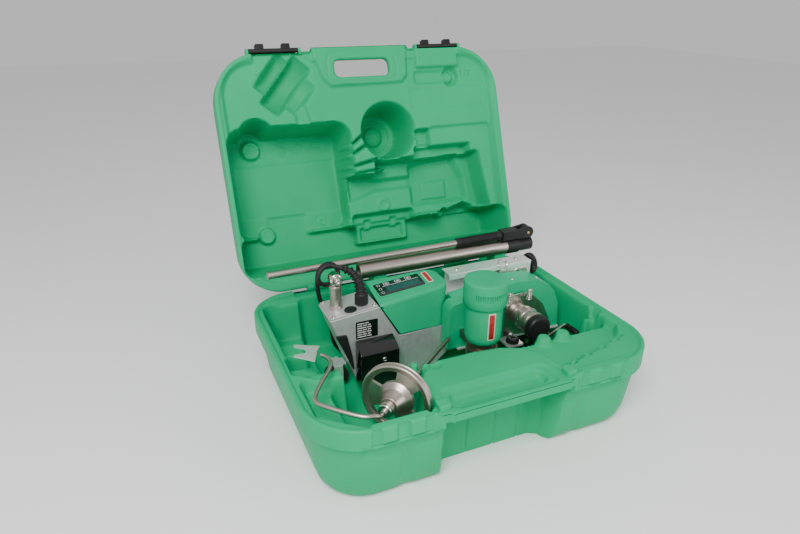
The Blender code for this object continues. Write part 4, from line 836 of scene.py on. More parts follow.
def cut_lid_marks(lid):
    """Bosses, sunken panels and small marks moulded into the lid."""
    for centre, rings in (((-226, 280), ((20.0, 97.0, 4.0), (14.0, 99.5, 2.0))),
                          ((-218, 106), ((18.0, 98.0, 4.0), (13.0, 99.5, 1.5))),
                          ((-165, 274), ((15.0, 109.5, 1.5), (12.0, 108.0, 1.5))),
                          ((-127, 279), ((12.0, 109.5, 1.5), (9.0, 108.0, 1.5))),
                          ((-98, 122), ((14.0, 109.5, 1.5), (11.0, 108.0, 1.5), (3.0, 112.0, 2.0)))):
        for radius, floor, draft in rings:
            lid.dish(centre, radius, floor, draft)
    lid.box((-100, -74), (274, 284), 2.0, 109.3, 1.5)
    lid.box((-262, -56), (141, 250), 2.0, 109.4, 1.5)
    lid.box((98, 272), (324, 368), 2.0, 13.4, 1.5)
    lid.dish((197, 388), 21.0, 24.0, 6.0)
    lid.dish((193, 387), 13.0, 14.0, 5.0)
    lid.box((112, 184), (374, 404), 8.0, 19.0, 6.0)
    for x in (222, 232, 242):
        lid.box((x, x + 6), (388, 400), 1.5, 16.0, 2.0)
    lid.dish((30, 140), 16.0, 64.5, 3.0)
    lid.dish((30, 140), 9.0, 67.0, 2.0)
    lid.box((-44, 100), (52, 126), 10.0, 88.0, 7.0, deepen=True)
    lid.box((-34, 90), (58, 106), 8.0, 94.0, 4.0)
    lid.box((-22, 78), (64, 96), 6.0, 104.0, 4.0)
    for x in (-4, 56):
        lid.box((x - 9, x + 9), (88, 112), 3.0, 96.0, 4.0)
    lid.pocket([(146, 112), (178, 112), (222, 124), (268, 100), (272, 52), (150, 52)], 8.0, 104.0, 9.0,
               deepen=True)
    lid.dish((172, 104), 11.0, 92.0, 4.0)


def segment(x, y, start, end, half):
    """Distance inside a bar with round ends."""
    ex, ey = end[0] - start[0], end[1] - start[1]
    t = np.clip(((x - start[0]) * ex + (y - start[1]) * ey) / (ex * ex + ey * ey), 0, 1)
    return half - np.hypot(x - start[0] - ex * t, y - start[1] - ey * t)


def lid_front(x, y, height, outward, more):
    """y of the lid's outer wall with the handle bar and the finger space."""
    level = np.full(x.shape, height - LID_Z)
    face = np.clip((-outward[:, 1] - 0.75) / 0.2, 0, 1)
    out = BAR_OUT * bar_share(x) * band(level, -9.0, 18.4, 2.0)
    for side in (-1, 1):
        latch = side * LATCH_X
        out = out - 2.4 * band(x, latch - 46, latch + 46) * band(level, -9.0, 30.0, 2.0)
    y = y - out * face
    cut = np.maximum(y, -CASE_HALF_DEPTH + notch_depth(x) + more) - y
    return y + cut * band(level, 18.8, 999.0, 1.6) * (notch_depth(x) > 0)


def make_case_lid():
    depth = lid_depths()
    y = front_edge(shifted_front(GRID_Y.copy()), lid_front, LID_Z + RIM_ROUND)
    rises = list(np.arange(4.0, 16.0, 2.0))
    rises += [16.0, 17.0, 17.8, 18.6, 19.4, 20.4, 22.0, 24.0, 27.0, 29.0, 30.0, 31.0, 33.0, 34.5, 36.0, 37.0]
    rises += list(np.arange(40.0, 110.0, 4.0))
    rises += [112.0, 115.0, 118.0, 121.0, 124.0, 126.0, 128.0, 129.0, 129.7, LID_HEIGHT]
    heights, insets = zip(*LID_INSETS)
    dished = ((LID_HEIGHT, 10.0), (129.3, 11.0), (127.6, 12.0), (127.0, 13.5))
    closing = [(LID_Z + rise, more) for rise, more in dished]
    form = case_shell(GRID_X, y, LID_Z + depth, [LID_Z + r for r in rises],
                      lambda h: float(np.interp(h - LID_Z, heights, insets)), lid_front, closing)
    lid = piece("case_lid_moulding", open_lid(form), "lid", "case", ("case_lid",), angle=60.0)
    hole = []
    for height, grow in ((-3.0, 5.0), (2.8, 4.2), (6.0, 0.0), (15.6, 0.0), (19.2, 4.2), (24.0, 5.0)):
        outline = round_rect((-58.0 - grow, 58.0 + grow), (CASE_HALF_DEPTH - 430.0 - grow,
                                                           CASE_HALF_DEPTH - 396.0 + grow), 12.0 + grow)
        hole.append([(px, py, LID_Z + height) for px, py in outline])
    cut_hole(lid, open_lid(loft(hole)))
    extras = []
    for side in (-1, 1):
        x = side * KNUCKLE_X
        for low, high in ((x - 27.0, x - 14.3), (x + 14.3, x + 27.0)):
            extras.append(lathe(fillet([(2.6, 0.0), (7.0, 0.0), (7.0, high - low), (2.6, high - low)], 1.0),
                             (low, HINGE_Y, HINGE_Z), (1, 0, 0), 40))
        for end in (-1, 1):
            inner = side * LATCH_X + end * 47.3
            ear_y = (-CASE_HALF_DEPTH - 9.0, -CASE_HALF_DEPTH + 4.0)
            ear = round_rect(ear_y, (LID_Z + 5.0, LID_Z + 17.0), 3.0)
            extras.append(slab(ear, min(inner, inner + end * 5.0), max(inner, inner + end * 5.0), "X"))
    for offset in (-120.0, 0.0, 120.0):
        rib = round_rect((offset - 34.0, offset + 34.0), (-60.0, 150.0), 16.0)
        extras.append(slab(rib, LID_Z + 125.0, LID_Z + 129.4))
    piece("lid_knuckles_ears_and_ribs", open_lid(gather(extras)), "lid", "case", bevel=1.0)


def cut_hole(obj, form):
    """Cut a closed form out of a piece and keep the result as the piece's mesh."""
    cutter = bpy.data.objects.new("cutter", mesh_of("cutter", form))
    SCENE.collection.objects.link(cutter)
    step = obj.modifiers.new("hole", "BOOLEAN")
    step.operation = "DIFFERENCE"
    step.solver = "MANIFOLD"
    step.object = cutter
    bpy.context.view_layer.update()
    result = bpy.data.meshes.new_from_object(obj.evaluated_get(bpy.context.evaluated_depsgraph_get()))
    obj.modifiers.remove(step)
    obj.data = result
    bpy.data.objects.remove(cutter)
    result.shade_smooth()
    result.set_sharp_from_angle(angle=radians(60.0))


# ---------------------------------------------------------------- mains cord

BOOT_KNOTS = ((-129.0, 52.0, 182.0), (-129.0, 53.0, 200.0), (-131.0, 60.0, 220.0), (-138.0, 70.0, 233.0),
              (-150.0, 80.0, 238.0))
CORD_KNOTS = ((-150.6, 80.4, 238.2), (-162.0, 89.0, 241.0), (-175.0, 92.0, 243.0), (-188.0, 90.0, 236.0),
              (-193.0, 87.0, 224.0), (-187.0, 89.0, 212.0), (-172.0, 94.0, 207.0), (-158.0, 103.0, 210.0),
              (-150.0, 110.0, 219.0), (-155.0, 115.0, 231.0), (-168.0, 118.0, 234.0), (-180.0, 121.0, 224.0),
              (-184.0, 124.0, 205.0), (-183.0, 126.4, 180.0), (-178.0, 127.8, 155.0), (-170.0, 128.2, 128.0),
              (-161.5, 128.2, 102.0), (-159.4, 128.2, 85.0))
TAIL_KNOTS = ((-84.0, 108.5, 41.3), (-72.0, 104.4, 41.6), (-61.0, 105.6, 42.0), (-53.0, 113.0, 42.0),
              (-47.6, 119.6, 42.0))
CORD_LENGTH, CORD_DIAMETER = 2.75, 0.008
LANES = (128.2, 120.0, 111.8)
TURN_PITCH = 8.1
OUTER_TURN = 56.0


def winding():
    """The coil's turns: in along one lane, out along the next, then in along the third to the bottom."""
    inner = OUTER_TURN - 3 * TURN_PITCH
    stages = ((90.0, 64.4, OUTER_TURN, LANES[0], LANES[0]), (1080.0, OUTER_TURN, inner, LANES[0], LANES[0]),
              (90.0, inner, inner, LANES[0], LANES[1]), (1080.0, inner, OUTER_TURN, LANES[1], LANES[1]),
              (90.0, OUTER_TURN, OUTER_TURN, LANES[1], LANES[2]),
              (540.0, OUTER_TURN, OUTER_TURN - 1.5 * TURN_PITCH, LANES[2], LANES[2]))
    angle, points = 180.0, []
    for sweep, from_radius, to_radius, from_lane, to_lane in stages:
        steps = round(sweep / 10.0)
        for i in range(1, steps + 1):
            t = i / steps
            eased = t * t * (3 - 2 * t)
            radius = from_radius + (to_radius - from_radius) * (t if sweep > 360 else eased)
            turned = radians(angle + sweep * t)
            points.append(np.array([COIL_CENTRE[0] + radius * cos(turned),
                                    from_lane + (to_lane - from_lane) * eased,
                                    COIL_CENTRE[2] + radius * sin(turned)]))
        angle += sweep
    return points


def make_cord():
    run = smooth_route(CORD_KNOTS, 5.0) + winding()
    run += smooth_route([run[-1], *TAIL_KNOTS], 4.0)[1:]
    curve = bpy.data.curves.new("mains_cord_run", "CURVE")
    curve.dimensions = "3D"
    curve.bevel_depth = CORD_DIAMETER / 2
    curve.bevel_resolution = 5
    curve.use_fill_caps = True
    spline = curve.splines.new("POLY")
    spline.points.add(len(run) - 1)
    for point, place in zip(spline.points, run):
        point.co = (*(place * MM), 1.0)
    spline.use_smooth = True
    cord = bpy.data.objects.new("mains_cord_run", curve)
    SCENE.collection.objects.link(cord)
    settle(cord, "machine", "rubber", ("mains_cord", "cord_coil"))
    boot = smooth_route(BOOT_KNOTS, 0.8)
    lengths = np.concatenate([[0.0], np.cumsum(np.linalg.norm(np.diff(boot, axis=0), axis=1))])
    share = lengths / lengths[-1]
    ribs = np.clip(np.sin(lengths / 7.4 * 2 * pi) * 3.0, -1, 1)
    body_radius = 11.4 - 4.4 * share
    radii = np.where(lengths < 17.0, 11.5, body_radius - 1.3 + 1.3 * ribs)
    piece("cord_boot", tube(boot, radii, 32), "machine", "rubber", ("strain_relief",), angle=50.0)
    dress("mains_plug", "black", 0.8)


# ---------------------------------------------------------------- machine housing

def make_housing():
    dress("rear_housing", "cast", 1.4)
    dress("top_plate", "cast", 0.6)
    dress("belt_guard", "gloss", 1.6)
    pad = [(-185, 141), (-166, 140), (-164, 136), (-156, 96), (-153, 71), (-156, 70), (-172, 112)]
    piece("rear_grip_pad_moulded", slab(pad, 26.6, FRONT_Y + 0.3, "Y"), "machine", "black",
          ("rear_grip_pad",), bevel=1.0)
    dress("base_plate", "bright", 0.4)
    dress("front_cover", "green", 2.2)
    make_channel()
    side = [(124, 88), (127, 164), (136, 171), (172, 171), (180, 166), (208, 140), (224, 108), (226, 88)]
    piece("side_plate_folded", slab(side, -6.2, -3.3, "Y"), "machine", "steel", ("side_plate",), bevel=0.5)
    dress("wheel_bracket", "bright", 0.4)
    make_control_cover()
    cap_base = (-152.0, 43.0, plate_top(-152.0) + 3.6)
    up = (-PLATE_SLOPE, 0, 1)
    cap = []
    cap.append(lathe(fillet([(0.0, 0.0), (11.0, 0.0), (10.6, 1.4), (9.0, 2.2), (0.0, 2.2)], 0.6), cap_base,
                     up, 64))
    cap.append(block((-157.0, -147.0), (42.2, 43.8), (cap_base[2] + 1.9, cap_base[2] + 2.6)))
    piece("blind_cap_slotted", cap, "machine", "black", ("blind_cap",))
    for number, (x, y) in enumerate(((-184.0, 35.0), (-112.0, 36.0), (-184.0, 93.0), (-112.0, 93.0))):
        screw("plate_screw_%d" % (number + 1), (x, y, plate_top(x) + 3.1), up, 3.6, "machine")
    screw("guard_screw", (-108.0, -0.4, 95.0), (0, -1, 0), 4.2, "machine")
    plate = slab(round_rect((-148.0, -108.0), (125.6, 159.0), 1.5), FRONT_Y - 0.5, FRONT_Y + 0.2, "Y")
    piece("rating_plate", plate, "machine", "gloss", bevel=0.15)
    bars = []
    for row in range(7):
        z = 155.0 - row * 4.2
        start = -145.4
        for width in ((13.0, 6.0) if row == 0 else (9.0, 7.0, 5.0) if row % 2 else (16.0, 8.0)):
            end = start + width
            bar = [(start, z - 1.0), (end, z - 1.0), (end, z + 0.6), (start, z + 0.6)]
            bars.append(slab(bar, FRONT_Y - 0.62, FRONT_Y - 0.4, "Y"))
            start += width + 1.6
    piece("rating_plate_bars", bars, "machine", "print")


def make_channel():
    """Bent sheet channel, open to the front at its left end."""
    low, high = 154.5, 205.0
    left, right = 39.0, 213.5
    sheet = []
    sheet.append(block((left, right), (50.2, 79.8), (high - 2.2, high)))
    sheet.append(block((left + 6.0, right), (77.8, 79.8), (low, high - 1.0)))
    sheet.append(block((left + 5.0, right), (50.2, 79.8), (low, low + 2.0)))
    sheet.append(slab([(left - 1.0, high), (right, high), (right, high - 7.0), (left, high - 11.0)], 49.0,
                      50.8, "Y"))
    sheet.append(slab([(left + 4.0, low), (150.0, low), (150.0, low + 4.0), (left + 4.0, low + 6.0)], 49.4,
                      50.8, "Y"))
    window = round_rect((146.0, right), (160.0, high - 3.0), 5.0)
    sheet.append(slab(window, 50.0, 51.8, "Y"))
    piece("tool_channel_folded", sheet, "machine", "bright", ("tool_channel",), bevel=0.6)
    tab = []
    tab.append(slab(round_rect((178.0, 206.0), (170.0, 194.0), 8.0), 47.8, 50.4, "Y"))
    tab.append(lathe(fillet([(3.2, -2.0), (3.2, 2.0), (6.0, 2.0), (6.0, -2.0)], 0.5), (191.0, 47.6, 182.0),
                     (0, 1, 0), 40))
    piece("channel_tab", tab, "machine", "steel", bevel=1.1)


def plate_top(x):
    """Height of the housing's sloping top edge."""
    return 170.0 + (x + 190.0) * PLATE_SLOPE


def screw(name, place, axis, radius, body):
    """Domed screw head with a round socket."""
    profile = fillet([(radius * 0.5, -0.6), (radius * 0.5, 0.5), (radius * 0.52, radius * 0.5),
                      (radius * 0.8, radius * 0.5), (radius, radius * 0.2), (radius, -1.2), (0.0, -1.2)],
                     0.5, 3)
    return piece(name, lathe([(0.0, -0.6)] + profile, place, axis, 36), body, "steel")


def cover_section(x, low, front, back, top_front, top_back, corner=7.0, steps=5):
    """Section of the control cover: straight sides and a rounded, sloping top."""
    points = [(front, low), (back, low)]
    for centre, start, end in (((back - corner, top_back - corner), 0, 90),
                               ((front + corner, top_front - corner), 90, 180)):
        points += arc(centre, corner, start, end, steps)
    return [(x, y, z) for y, z in points]


def make_control_cover():
    rings = []
    stations = [(-103.4, 181.6, 0.9), (-102.4, 180.0, 0.0)]
    stations += [(-102.4 + 36.4 * i / 6, 180.0 - 60.5 * i / 6, 0.0) for i in range(1, 7)]
    stations += [(-40.0, 119.5, 0.0), (-10.0, 119.5, 0.0)]
    stations += [(6.0 + 24.0 * sin(radians(a)), 119.5, 20.0 * (1 - cos(radians(a))))
                 for a in range(0, 91, 10)]
    for x, low, pinch in stations:
        share = (x + 104.0) / 132.0
        rings.append(cover_section(x, low, 28.5 + pinch, 104.0 - pinch, 183.0 + 16.5 * share - pinch * 0.12,
                                   197.0 + 3.5 * share - pinch * 0.12))
    cover = []
    cover.append(loft(rings))
    cover.append(on_panel(slab(round_rect((-46.5, 46.5), (-20.5, 20.5), 5.0), -4.0, 0.5)))
    piece("control_cover_shell", cover, "machine", "green", ("control_cover",), angle=42.0)
    dress("display_panel", "gloss", 0.4)
    for number in (1, 2, 3):
        dress("button_%d" % number, "black", 0.4)
    glass = on_panel(slab(round_rect((-26.0, 38.0), (-12.5, 3.5), 1.2), 0.85, 1.05))
    piece("display_glass", glass, "machine", "lcd", bevel=0.1)
    marks = []
    marks.append(on_panel(slab([(-30, 6.2), (40, 6.2), (40, 7.0), (-30, 7.0)], 0.88, 1.0)))
    for x in (-20.0, 2.0, 22.0):
        for ring in frame_outline((x - 5.5, x + 5.5), (9.0, 15.5), 0.8):
            marks.append(on_panel(ring))
        marks.append(on_panel(slab([(x - 3, 11.2), (x + 3, 11.2), (x, 14.0)], 0.88, 1.0)))
    piece("display_marks", marks, "machine", "print")
    for number, offset in enumerate((-11.0, 0.0, 11.0)):
        icon = []
        for ring in frame_outline((-38.4, -33.6), (offset - 2.8, offset + 2.8), 0.5, 1.86, 1.98):
            icon.append(on_panel(ring))
        piece("button_mark_%d" % (number + 1), icon, "button_%d" % (number + 1), "print")
    label = on_panel(slab(round_rect((50.0, 60.5), (-16.0, 17.0), 1.2), -1.2, 0.95))
    piece("cover_label_border", label, "machine", "pale", bevel=0.15)
    label = on_panel(slab(round_rect((51.6, 58.9), (-14.4, 15.4), 0.8), 0.8, 1.15))
    piece("cover_label", label, "machine", "red", bevel=0.1)


def frame_outline(x, y, width, low=0.88, high=1.0):
    """Four thin bars that frame a rectangle."""
    return [slab([(a, c), (b, c), (b, d), (a, d)], low, high) for a, b, c, d in (
        (x[0], x[1], y[0], y[0] + width), (x[0], x[1], y[1] - width, y[1]),
        (x[0], x[0] + width, y[0], y[1]), (x[1] - width, x[1], y[0], y[1]))]


def on_panel(form):
    """A form drawn about the display's centre, carried on to the cover's sloping top."""
    x = np.array([1.0, 0.02, 0.084])
    x /= np.linalg.norm(x)
    lean = np.array([-0.08, 1.0, 0.155])
    z = np.cross(x, lean / np.linalg.norm(lean))
    z /= np.linalg.norm(z)
    return carried(form, np.stack([x, np.cross(z, x), z], axis=1), PANEL_CENTRE)


def make_post():
    base = (POST[0], POST[1], plate_top(POST[0]) + 1.8)
    profile = fillet([(0.0, 0.5), (12.2, 0.5), (12.0, 2.0), (10.2, 6.5), (10.0, 38.8), (10.6, 39.4),
                      (10.6, 43.2), (9.6, 44.0), (0.0, 44.0)], 0.7)
    piece("handle_post_turned", lathe(profile, base, sides=72), "machine", "tube", ("handle_post",))
    centre = (POST[0], POST[1], base[2] + 55.3)
    head = []
    head.append(lathe(fillet([(0.0, -11.0), (8.0, -11.0), (8.0, 3.0), (0.0, 3.0)], 0.8), centre, sides=48))
    head.append(lathe(fillet([(0.0, -11.0), (8.4, -11.0), (11.0, -8.6), (11.0, 8.0), (9.0, 9.4), (7.4, 9.4),
                              (7.4, 11.0), (0.0, 11.0)], 0.8), centre, (0, -1, 0), 64))
    ring = fillet([(6.4, 9.0), (6.4, 11.8), (8.6, 11.8), (8.6, 9.0)], 0.5)
    head.append(lathe(ring, centre, (0, -1, 0), 56))
    head.append(lathe(fillet([(1.6, 10.0), (1.6, 13.4), (3.4, 15.0), (4.6, 13.6), (4.6, 10.0)], 0.5),
                      centre, (0, -1, 0), 40))
    piece("swivel_head_turned", head, "swivel_head", "chrome", ("swivel_head",), angle=45.0)


# ---------------------------------------------------------------- drive, crank and channel

def make_drive():
    dress("drive_roller", "rubber", 0.5)
    dress("drive_gear", "brass", 0.2)
    dress("motor_pinion", "steel", 0.2)
    dress("drive_motor", "steel", 0.5)
    dress("control_board", "board", 0.1)
    dress("crank_lever", "steel", 0.4)
    dress("rear_wheel", "rubber", 0.6)
    grip = fillet([(2.3, 0.0), (4.6, 0.0), (5.6, 1.4), (5.0, 6.0), (5.6, 13.0), (6.1, 22.0), (5.6, 30.0),
                   (4.2, 33.0), (2.3, 33.0)], 2.0)
    piece("crank_grip_turned", lathe(grip, (268.0, -9.6, 81.0), (0, -1, 0), 48), "crank_grip", "black",
          ("crank_grip",))

    def flutes(turned, height, radius):
        return np.where((radius > 17.0), 0.9 * np.cos(turned * 24), 0.0)

    knob = fillet([(0.0, -20.0), (4.0, -20.0), (4.0, 0.0), (6.0, 0.0), (8.0, 2.0), (17.4, 2.0), (19.6, 4.0),
                   (19.8, 11.0), (18.4, 13.4), (14.0, 15.0), (6.0, 14.4), (0.0, 14.4)], 1.0)
    piece("clamp_knob_fluted", lathe(knob, (215.0, 66.0, 190.0), (1, 0, 0), 144, flutes), "clamp_knob",
          "black", ("clamp_knob",))
    centre = np.array([148.0, 47.6, 206.5])
    loop_radius, pitch = 10.5, 150.0
    across, other, along = axes_of((0.2, -0.78, 0.6))
    points = [centre + across * (loop_radius * cos(radians(a))) + other * (loop_radius * sin(radians(a)))
              + along * (a / pitch)
              for a in range(-70, 391, 10)]
    points += [points[-1] + (6.0, -0.8, -3.0), points[-1] + (14.0, -1.2, -4.0)]
    piece("spring_clip_wire", tube(points, 1.0, 14), "machine", "chrome", ("spring_clip",))
    for number, x in enumerate((62.0, 190.0)):
        screw("channel_screw_%d" % (number + 1), (x, 66.0, 204.8), (0, 0, 1), 4.0, "machine")
    screw("cover_screw_1", (150.0, 16.0, 190.4), (0.02, 0, 1), 3.4, "machine")
    screw("cover_screw_2", (204.0, 16.0, 184.0), (0.45, 0, 1), 3.4, "machine")


def make_lift_unit():
    axis = (0, -1, 0)
    body = fillet([(0.0, 0.0), (17.0, 0.0), (17.0, 11.0), (21.5, 12.0), (21.5, 30.0), (20.9, 30.6),
                   (21.5, 31.2), (21.5, 54.0), (20.0, 56.0), (0.0, 56.0)], 0.6)
    piece("lift_motor_turned", lathe(body, (157.0, -6.6, 130.0), axis, 80), "machine", "tube",
          ("lift_motor",))
    cap = fillet([(0.0, 0.3), (21.9, 0.3), (21.9, -6.0), (23.0, -6.0), (23.2, 4.6), (21.0, 8.2), (16.0, 9.2),
                  (0.0, 8.9)], 1.4, 6)
    piece("lift_motor_cap_domed", lathe(cap, (157.0, -62.6, 130.0), axis, 80), "machine", "black",
          ("lift_motor_cap",))
    bands = []
    for offset in (24.0, 27.2, 42.0):
        bands.append(lathe([(21.3, 0.0), (22.6, 0.3), (23.0, 1.1), (22.6, 1.9), (21.3, 2.2)],
                           (157.0, -6.6 - offset, 130.0),
                        axis, 72))
    piece("lift_motor_bands", bands, "machine", "chrome")
    for name, x in (("spring_left", 126.0), ("spring_right", 168.0)):
        turns, steps, height = 6, 20, 22.0
        points = [(x + 4.0 * cos(2 * pi * i / steps), -16.0 + 4.0 * sin(2 * pi * i / steps),
                   160.0 + height * i / (turns * steps)) for i in range(turns * steps + 1)]
        piece(name + "_coil", tube(points, 0.9, 10), "machine", "chrome", (name,))

    def flutes(turned, height, radius):
        return 0.5 * np.cos(turned * 18) * (radius > 9.2)

    dial = fillet([(0.0, 0.0), (12.0, 0.0), (10.6, 7.5), (9.0, 9.0), (0.0, 9.0)], 1.0)
    piece("dial_fluted", lathe(dial, (136.0, -22.0, 83.6), (0, 0, 1), 108, flutes), "temperature_dial",
          "black", ("temperature_dial",))
    ticks = []
    for step in range(8):
        a = radians(step * 40.0)
        turn = np.array([[cos(a), -sin(a), 0], [sin(a), cos(a), 0], [0, 0, 1]])
        ticks.append(carried(block((5.0, 8.0), (-0.35, 0.35), (8.9, 9.15)), turn, (136.0, -22.0, 83.6)))
    piece("dial_ticks", ticks, "temperature_dial", "print")


# ---------------------------------------------------------------- blower

def make_blower():
    centre = (BLOWER[0], BLOWER[1], 0.0)
    facing = radians(-12.0)

    def vents(turned, height, radius):
        away = np.abs((turned - facing + pi) % (2 * pi) - pi)
        slot = (np.cos(turned * 60) > 0.0) & (away < radians(44.0))
        return np.where(slot & (height > 218.0) & (height < 229.5) & (radius > 35.0), -1.8, 0.0)

    cap = fillet([(0.0, 243.6), (28.0, 243.6), (33.0, 239.0), (33.0, 203.3), (36.0, 203.3)], 0.8)
    cap = cap[:-1] + [(35.5, 203.3), (36.0, 203.9)]
    cap += [(36.0, z) for z in (217.6, 218.2, 223.0, 229.2, 229.8, 240.8)]
    cap += fillet([(36.0, 240.8), (35.6, 245.0), (31.0, 246.5), (18.0, 246.8), (0.0, 246.8)], 2.4, 5)[1:]
    piece("blower_cap_moulded", lathe(cap, centre, sides=384, ripple=vents), "blower", "green",
          ("blower_cap",), angle=50.0)
    shell = [(27.5, 213.0), (31.0, 213.0), (31.3, 212.4), (31.3, 152.0), (30.8, 144.0), (28.8, 137.6),
             (25.8, 134.0), (23.6, 133.0), (22.3, 133.0), (22.3, 150.0), (27.5, 156.0)]
    piece("blower_housing_moulded", lathe(fillet(shell, 2.5, 5), centre, sides=128), "blower", "green",
          ("blower_housing",))
    dress("blower_motor", "steel", 0.5)
    dress("impeller", "bright", 0.3)
    dress("heating_element", "ceramic", 0.3)
    dress("nozzle", "hot_steel", 0.4)
    dress("blower_clamp", "hot_steel", 0.5)
    piece("heater_tube_turned", pipe((44.0, -63.0, 68.0), (44.0, -63.0, 150.0), 22.0, 19.5, 96), "blower",
          "hot_steel", ("heater_tube",))
    label_patch("blower_label_border", radians(-96.0), 0.20, 148.0, 197.0, 31.35, 0.45, "pale")
    label_patch("blower_label", radians(-96.0), 0.15, 150.0, 195.0, 31.35, 0.7, "red")


def label_patch(name, middle, half_angle, low, high, radius, thickness, finish):
    """Rounded rectangular label that follows the blower's round side."""
    steps = 14
    outline = round_rect((-half_angle * radius, half_angle * radius), (low, high), 1.6)
    points = []
    for (u, z), (u2, z2) in zip(outline, outline[1:] + outline[:1]):
        count = max(1, int(abs(u2 - u) / (2 * half_angle * radius / steps)))
        points += [(u + (u2 - u) * i / count, z + (z2 - z) * i / count) for i in range(count)]
    verts, faces = [], []
    for r, shrink in ((radius - 0.6, 0.0), (radius + thickness * 0.7, 0.0), (radius + thickness, 0.2)):
        for u, z in points:
            a = middle + u * (1 - shrink / (half_angle * radius)) / radius
            verts.append((BLOWER[0] + r * cos(a), BLOWER[1] + r * sin(a),
                          z + (shrink if z < (low + high) / 2 else -shrink)))
    count = len(points)
    for k in range(2):
        for i in range(count):
            j = (i + 1) % count
            faces.append((k * count + i, k * count + j, (k + 1) * count + j, (k + 1) * count + i))
    # each side is closed by strips to a line of points along the label's middle
    half_spine = half_angle * 0.9
    for k, r in ((0, radius - 0.6), (2, radius + thickness)):
        base = len(verts)
        for step in range(steps + 1):
            a = middle + half_spine * (2 * step / steps - 1)
            verts.append((BLOWER[0] + r * cos(a), BLOWER[1] + r * sin(a), (low + high) / 2))
        picks = [int(round(np.clip((u / radius / half_spine + 1) / 2, 0, 1) * steps)) for u, _ in points]
        for i in range(count):
            j = (i + 1) % count
            face = [k * count + i, k * count + j, base + picks[j]]
            if picks[i] != picks[j]:
                face.append(base + picks[i])
            faces.append(tuple(face))
    piece(name, (verts, faces), "blower", finish, angle=60.0)


# ---------------------------------------------------------------- guide bar

def make_guide_bar():
    piece("guide_tube_drawn", pipe((-98.0, BAR_Y, BIG_TUBE_Z), (230.0, BAR_Y, BIG_TUBE_Z), 15.0, 13.2, 96),
          "guide_bar", "tube", ("guide_tube",))
    left, right = np.array([-266.0, BAR_Y, 215.628]), np.array([230.0, BAR_Y, 220.5])
    along = (right - left) / np.linalg.norm(right - left)
    piece("handle_tube_drawn", pipe(left, right, 6.5, 5.0, 72), "handle", "tube", ("handle_tube",))
    profile = [(6.8, 0.0)] + fillet([(8.0, 0.0), (9.2, 1.6), (9.2, 8.0)], 0.6)
    for step in range(28):
        z = 9.0 + step * 3.0
        profile += [(9.1, z), (9.1, z + 1.6), (8.4, z + 2.0), (8.4, z + 2.6)]
    profile += [(9.1, 94.0), (9.1, 99.0), (8.2, 101.0), (6.8, 101.0)]
    piece("handle_grip_ribbed", lathe(profile, left + along * 371.0, along, 64), "handle", "rubber",
          ("handle_grip",), angle=50.0)
    dress("joint_sleeve", "black", 1.0)
    dress("fold_fork", "black", 1.4)
    pin = fillet([(0.0, -12.6), (2.6, -12.6), (3.0, -12.0), (3.0, 12.0), (2.6, 12.6), (0.0, 12.6)], 0.3)
    piece("fold_pin_turned", lathe(pin, (266.0, BAR_Y, 221.5), (0, 1, 0), 40), "guide_bar", "brass",
          ("fold_pin",))


# ---------------------------------------------------------------- guide roller

ARM_KNOTS = ((-205.0, -199.5, 146.0), (-221.0, -196.0, 147.5), (-243.0, -177.5, 149.0),
             (-262.0, -157.0, 150.0),
             (-270.0, -143.0, 150.0), (-266.0, -127.0, 150.0), (-249.0, -101.0, 150.0),
             (-229.0, -74.0, 150.0), (-220.0, -55.0, 150.0), (-222.0, -38.0, 150.0), (-228.0, -30.0, 150.0))


def on_axis(distance):
    """A place on the stored roller's axis."""
    return ROLLER_CENTRE + ROLLER_AXIS * distance


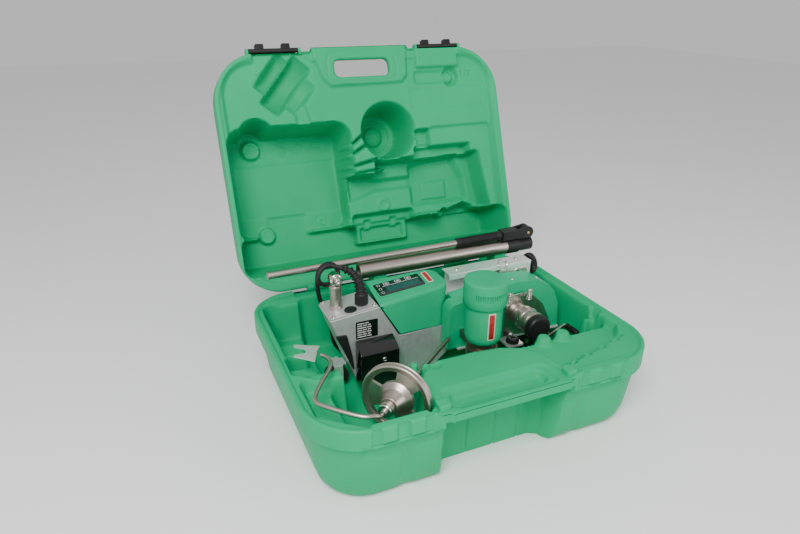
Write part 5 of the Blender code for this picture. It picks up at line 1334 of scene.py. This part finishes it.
def make_guide_roller():
    disc_form = []
    rim = [(44.0, 6.9), (50.0, 6.9), (51.4, 8.6), (52.6, 9.0), (54.3, 8.0), (54.4, 7.0), (52.6, 5.2),
           (52.4, 3.6), (54.3, 1.4), (54.4, -0.4), (53.2, -2.4), (51.2, -3.0), (49.0, -2.0), (44.0, -0.4)]
    disc_form.append(lathe(fillet(rim + rim[:1], 0.8, 3)[:-1], on_axis(0.0), ROLLER_AXIS, 144))
    hub = [(8.4, -22.0), (12.8, -22.0), (13.4, -21.0), (14.6, -17.0), (19.6, -6.4), (25.0, -0.6), (27.4, 1.4),
           (27.4, 7.2), (22.0, 9.8), (8.4, 9.8)]
    disc_form.append(lathe(fillet(hub + hub[:1], 1.2, 4)[:-1], on_axis(0.0), ROLLER_AXIS, 96))
    rows = axes_of(ROLLER_AXIS)
    for start in (91.0, 211.0, 331.0):
        outline = arc((0.0, 0.0), 45.0, start, start + 54.0, 18)
        outline += arc((0.0, 0.0), 26.0, start + 60.0, start - 6.0, 18)
        disc_form.append(carried(slab(outline, 1.2, 6.6), rows.T, on_axis(0.0)))
    piece("guide_roller_turned", disc_form, "guide_roller", "tube", ("guide_roller",), angle=35.0)
    shaft = [(0.0, -42.0), (4.5, -42.0), (4.5, -37.0), (6.5, -36.0), (6.5, -31.0), (11.0, -30.0),
             (11.0, -23.0), (8.0, -23.0), (8.0, 20.0), (6.0, 22.0), (4.0, 24.0), (4.0, 222.0), (2.5, 226.0),
             (0.0, 226.0)]
    piece("roller_spindle_turned", lathe(fillet(shaft, 0.9), on_axis(0.0), ROLLER_AXIS, 56), "roller_set",
          "tube", ("roller_spindle",))
    bearing = fillet([(4.7, -36.9), (9.4, -36.9), (10.6, -35.6), (10.6, -32.6), (9.4, -31.4), (6.7, -31.2)],
                     0.6)
    piece("roller_collar", lathe(bearing, on_axis(0.0), ROLLER_AXIS, 64), "roller_set", "chrome")
    start = on_axis(-43.4)
    route = smooth_route([start, start - ROLLER_AXIS * 6.0] + [np.array(k) for k in ARM_KNOTS], 3.0)
    piece("guide_arm_bent", tube(route, 3.25, 24), "roller_set", "tube", ("guide_arm",), angle=60.0)
    dress("fork_plate", "bright", 0.35)
    make_wing_screw()


def make_wing_screw():
    """Collar on the spindle with a winged clamp screw that points down to the left, behind the disc."""
    collar = fillet([(3.9, 45.0), (8.4, 45.0), (9.4, 46.4), (9.4, 57.6), (8.4, 59.0), (3.9, 59.0)], 0.8)
    piece("clamp_collar", lathe(collar, on_axis(0.0), ROLLER_AXIS, 48), "roller_set", "black")
    place = on_axis(52.0)
    outward = np.array([-0.62, 0.62, -0.49])
    rows = axes_of(outward)
    screw_form = []
    stem = fillet([(0.0, 5.0), (3.2, 5.0), (3.2, 16.0), (6.4, 17.5), (6.4, 25.0), (5.0, 27.0), (0.0, 27.0)],
                  0.8)
    screw_form.append(lathe(stem, place, outward, 36))
    for side in (20.0, 110.0, 200.0, 290.0):
        c, d = cos(radians(side)), sin(radians(side))
        turn = np.array([rows[0] * c + rows[1] * d, rows[1] * c - rows[0] * d, rows[2]]).T
        screw_form.append(carried(block((3.0, 12.5), (-2.6, 2.6), (17.5, 24.5)), turn, place))
    piece("wing_screw", screw_form, "roller_set", "black", bevel=1.0)


# ---------------------------------------------------------------- latches and pins

def make_latches():
    for name in ("latch_left", "latch_right"):
        dress(name, "black", 0.8)
    for name in ("hinge_pin_left", "hinge_pin_right"):
        dress(name, "steel", 0.3)


make_camera()
make_studio()
FINISH = make_finishes()
make_cord()
make_case_base()
make_case_lid()
make_latches()
make_housing()
make_post()
make_drive()
make_lift_unit()
make_blower()
make_guide_bar()
make_guide_roller()
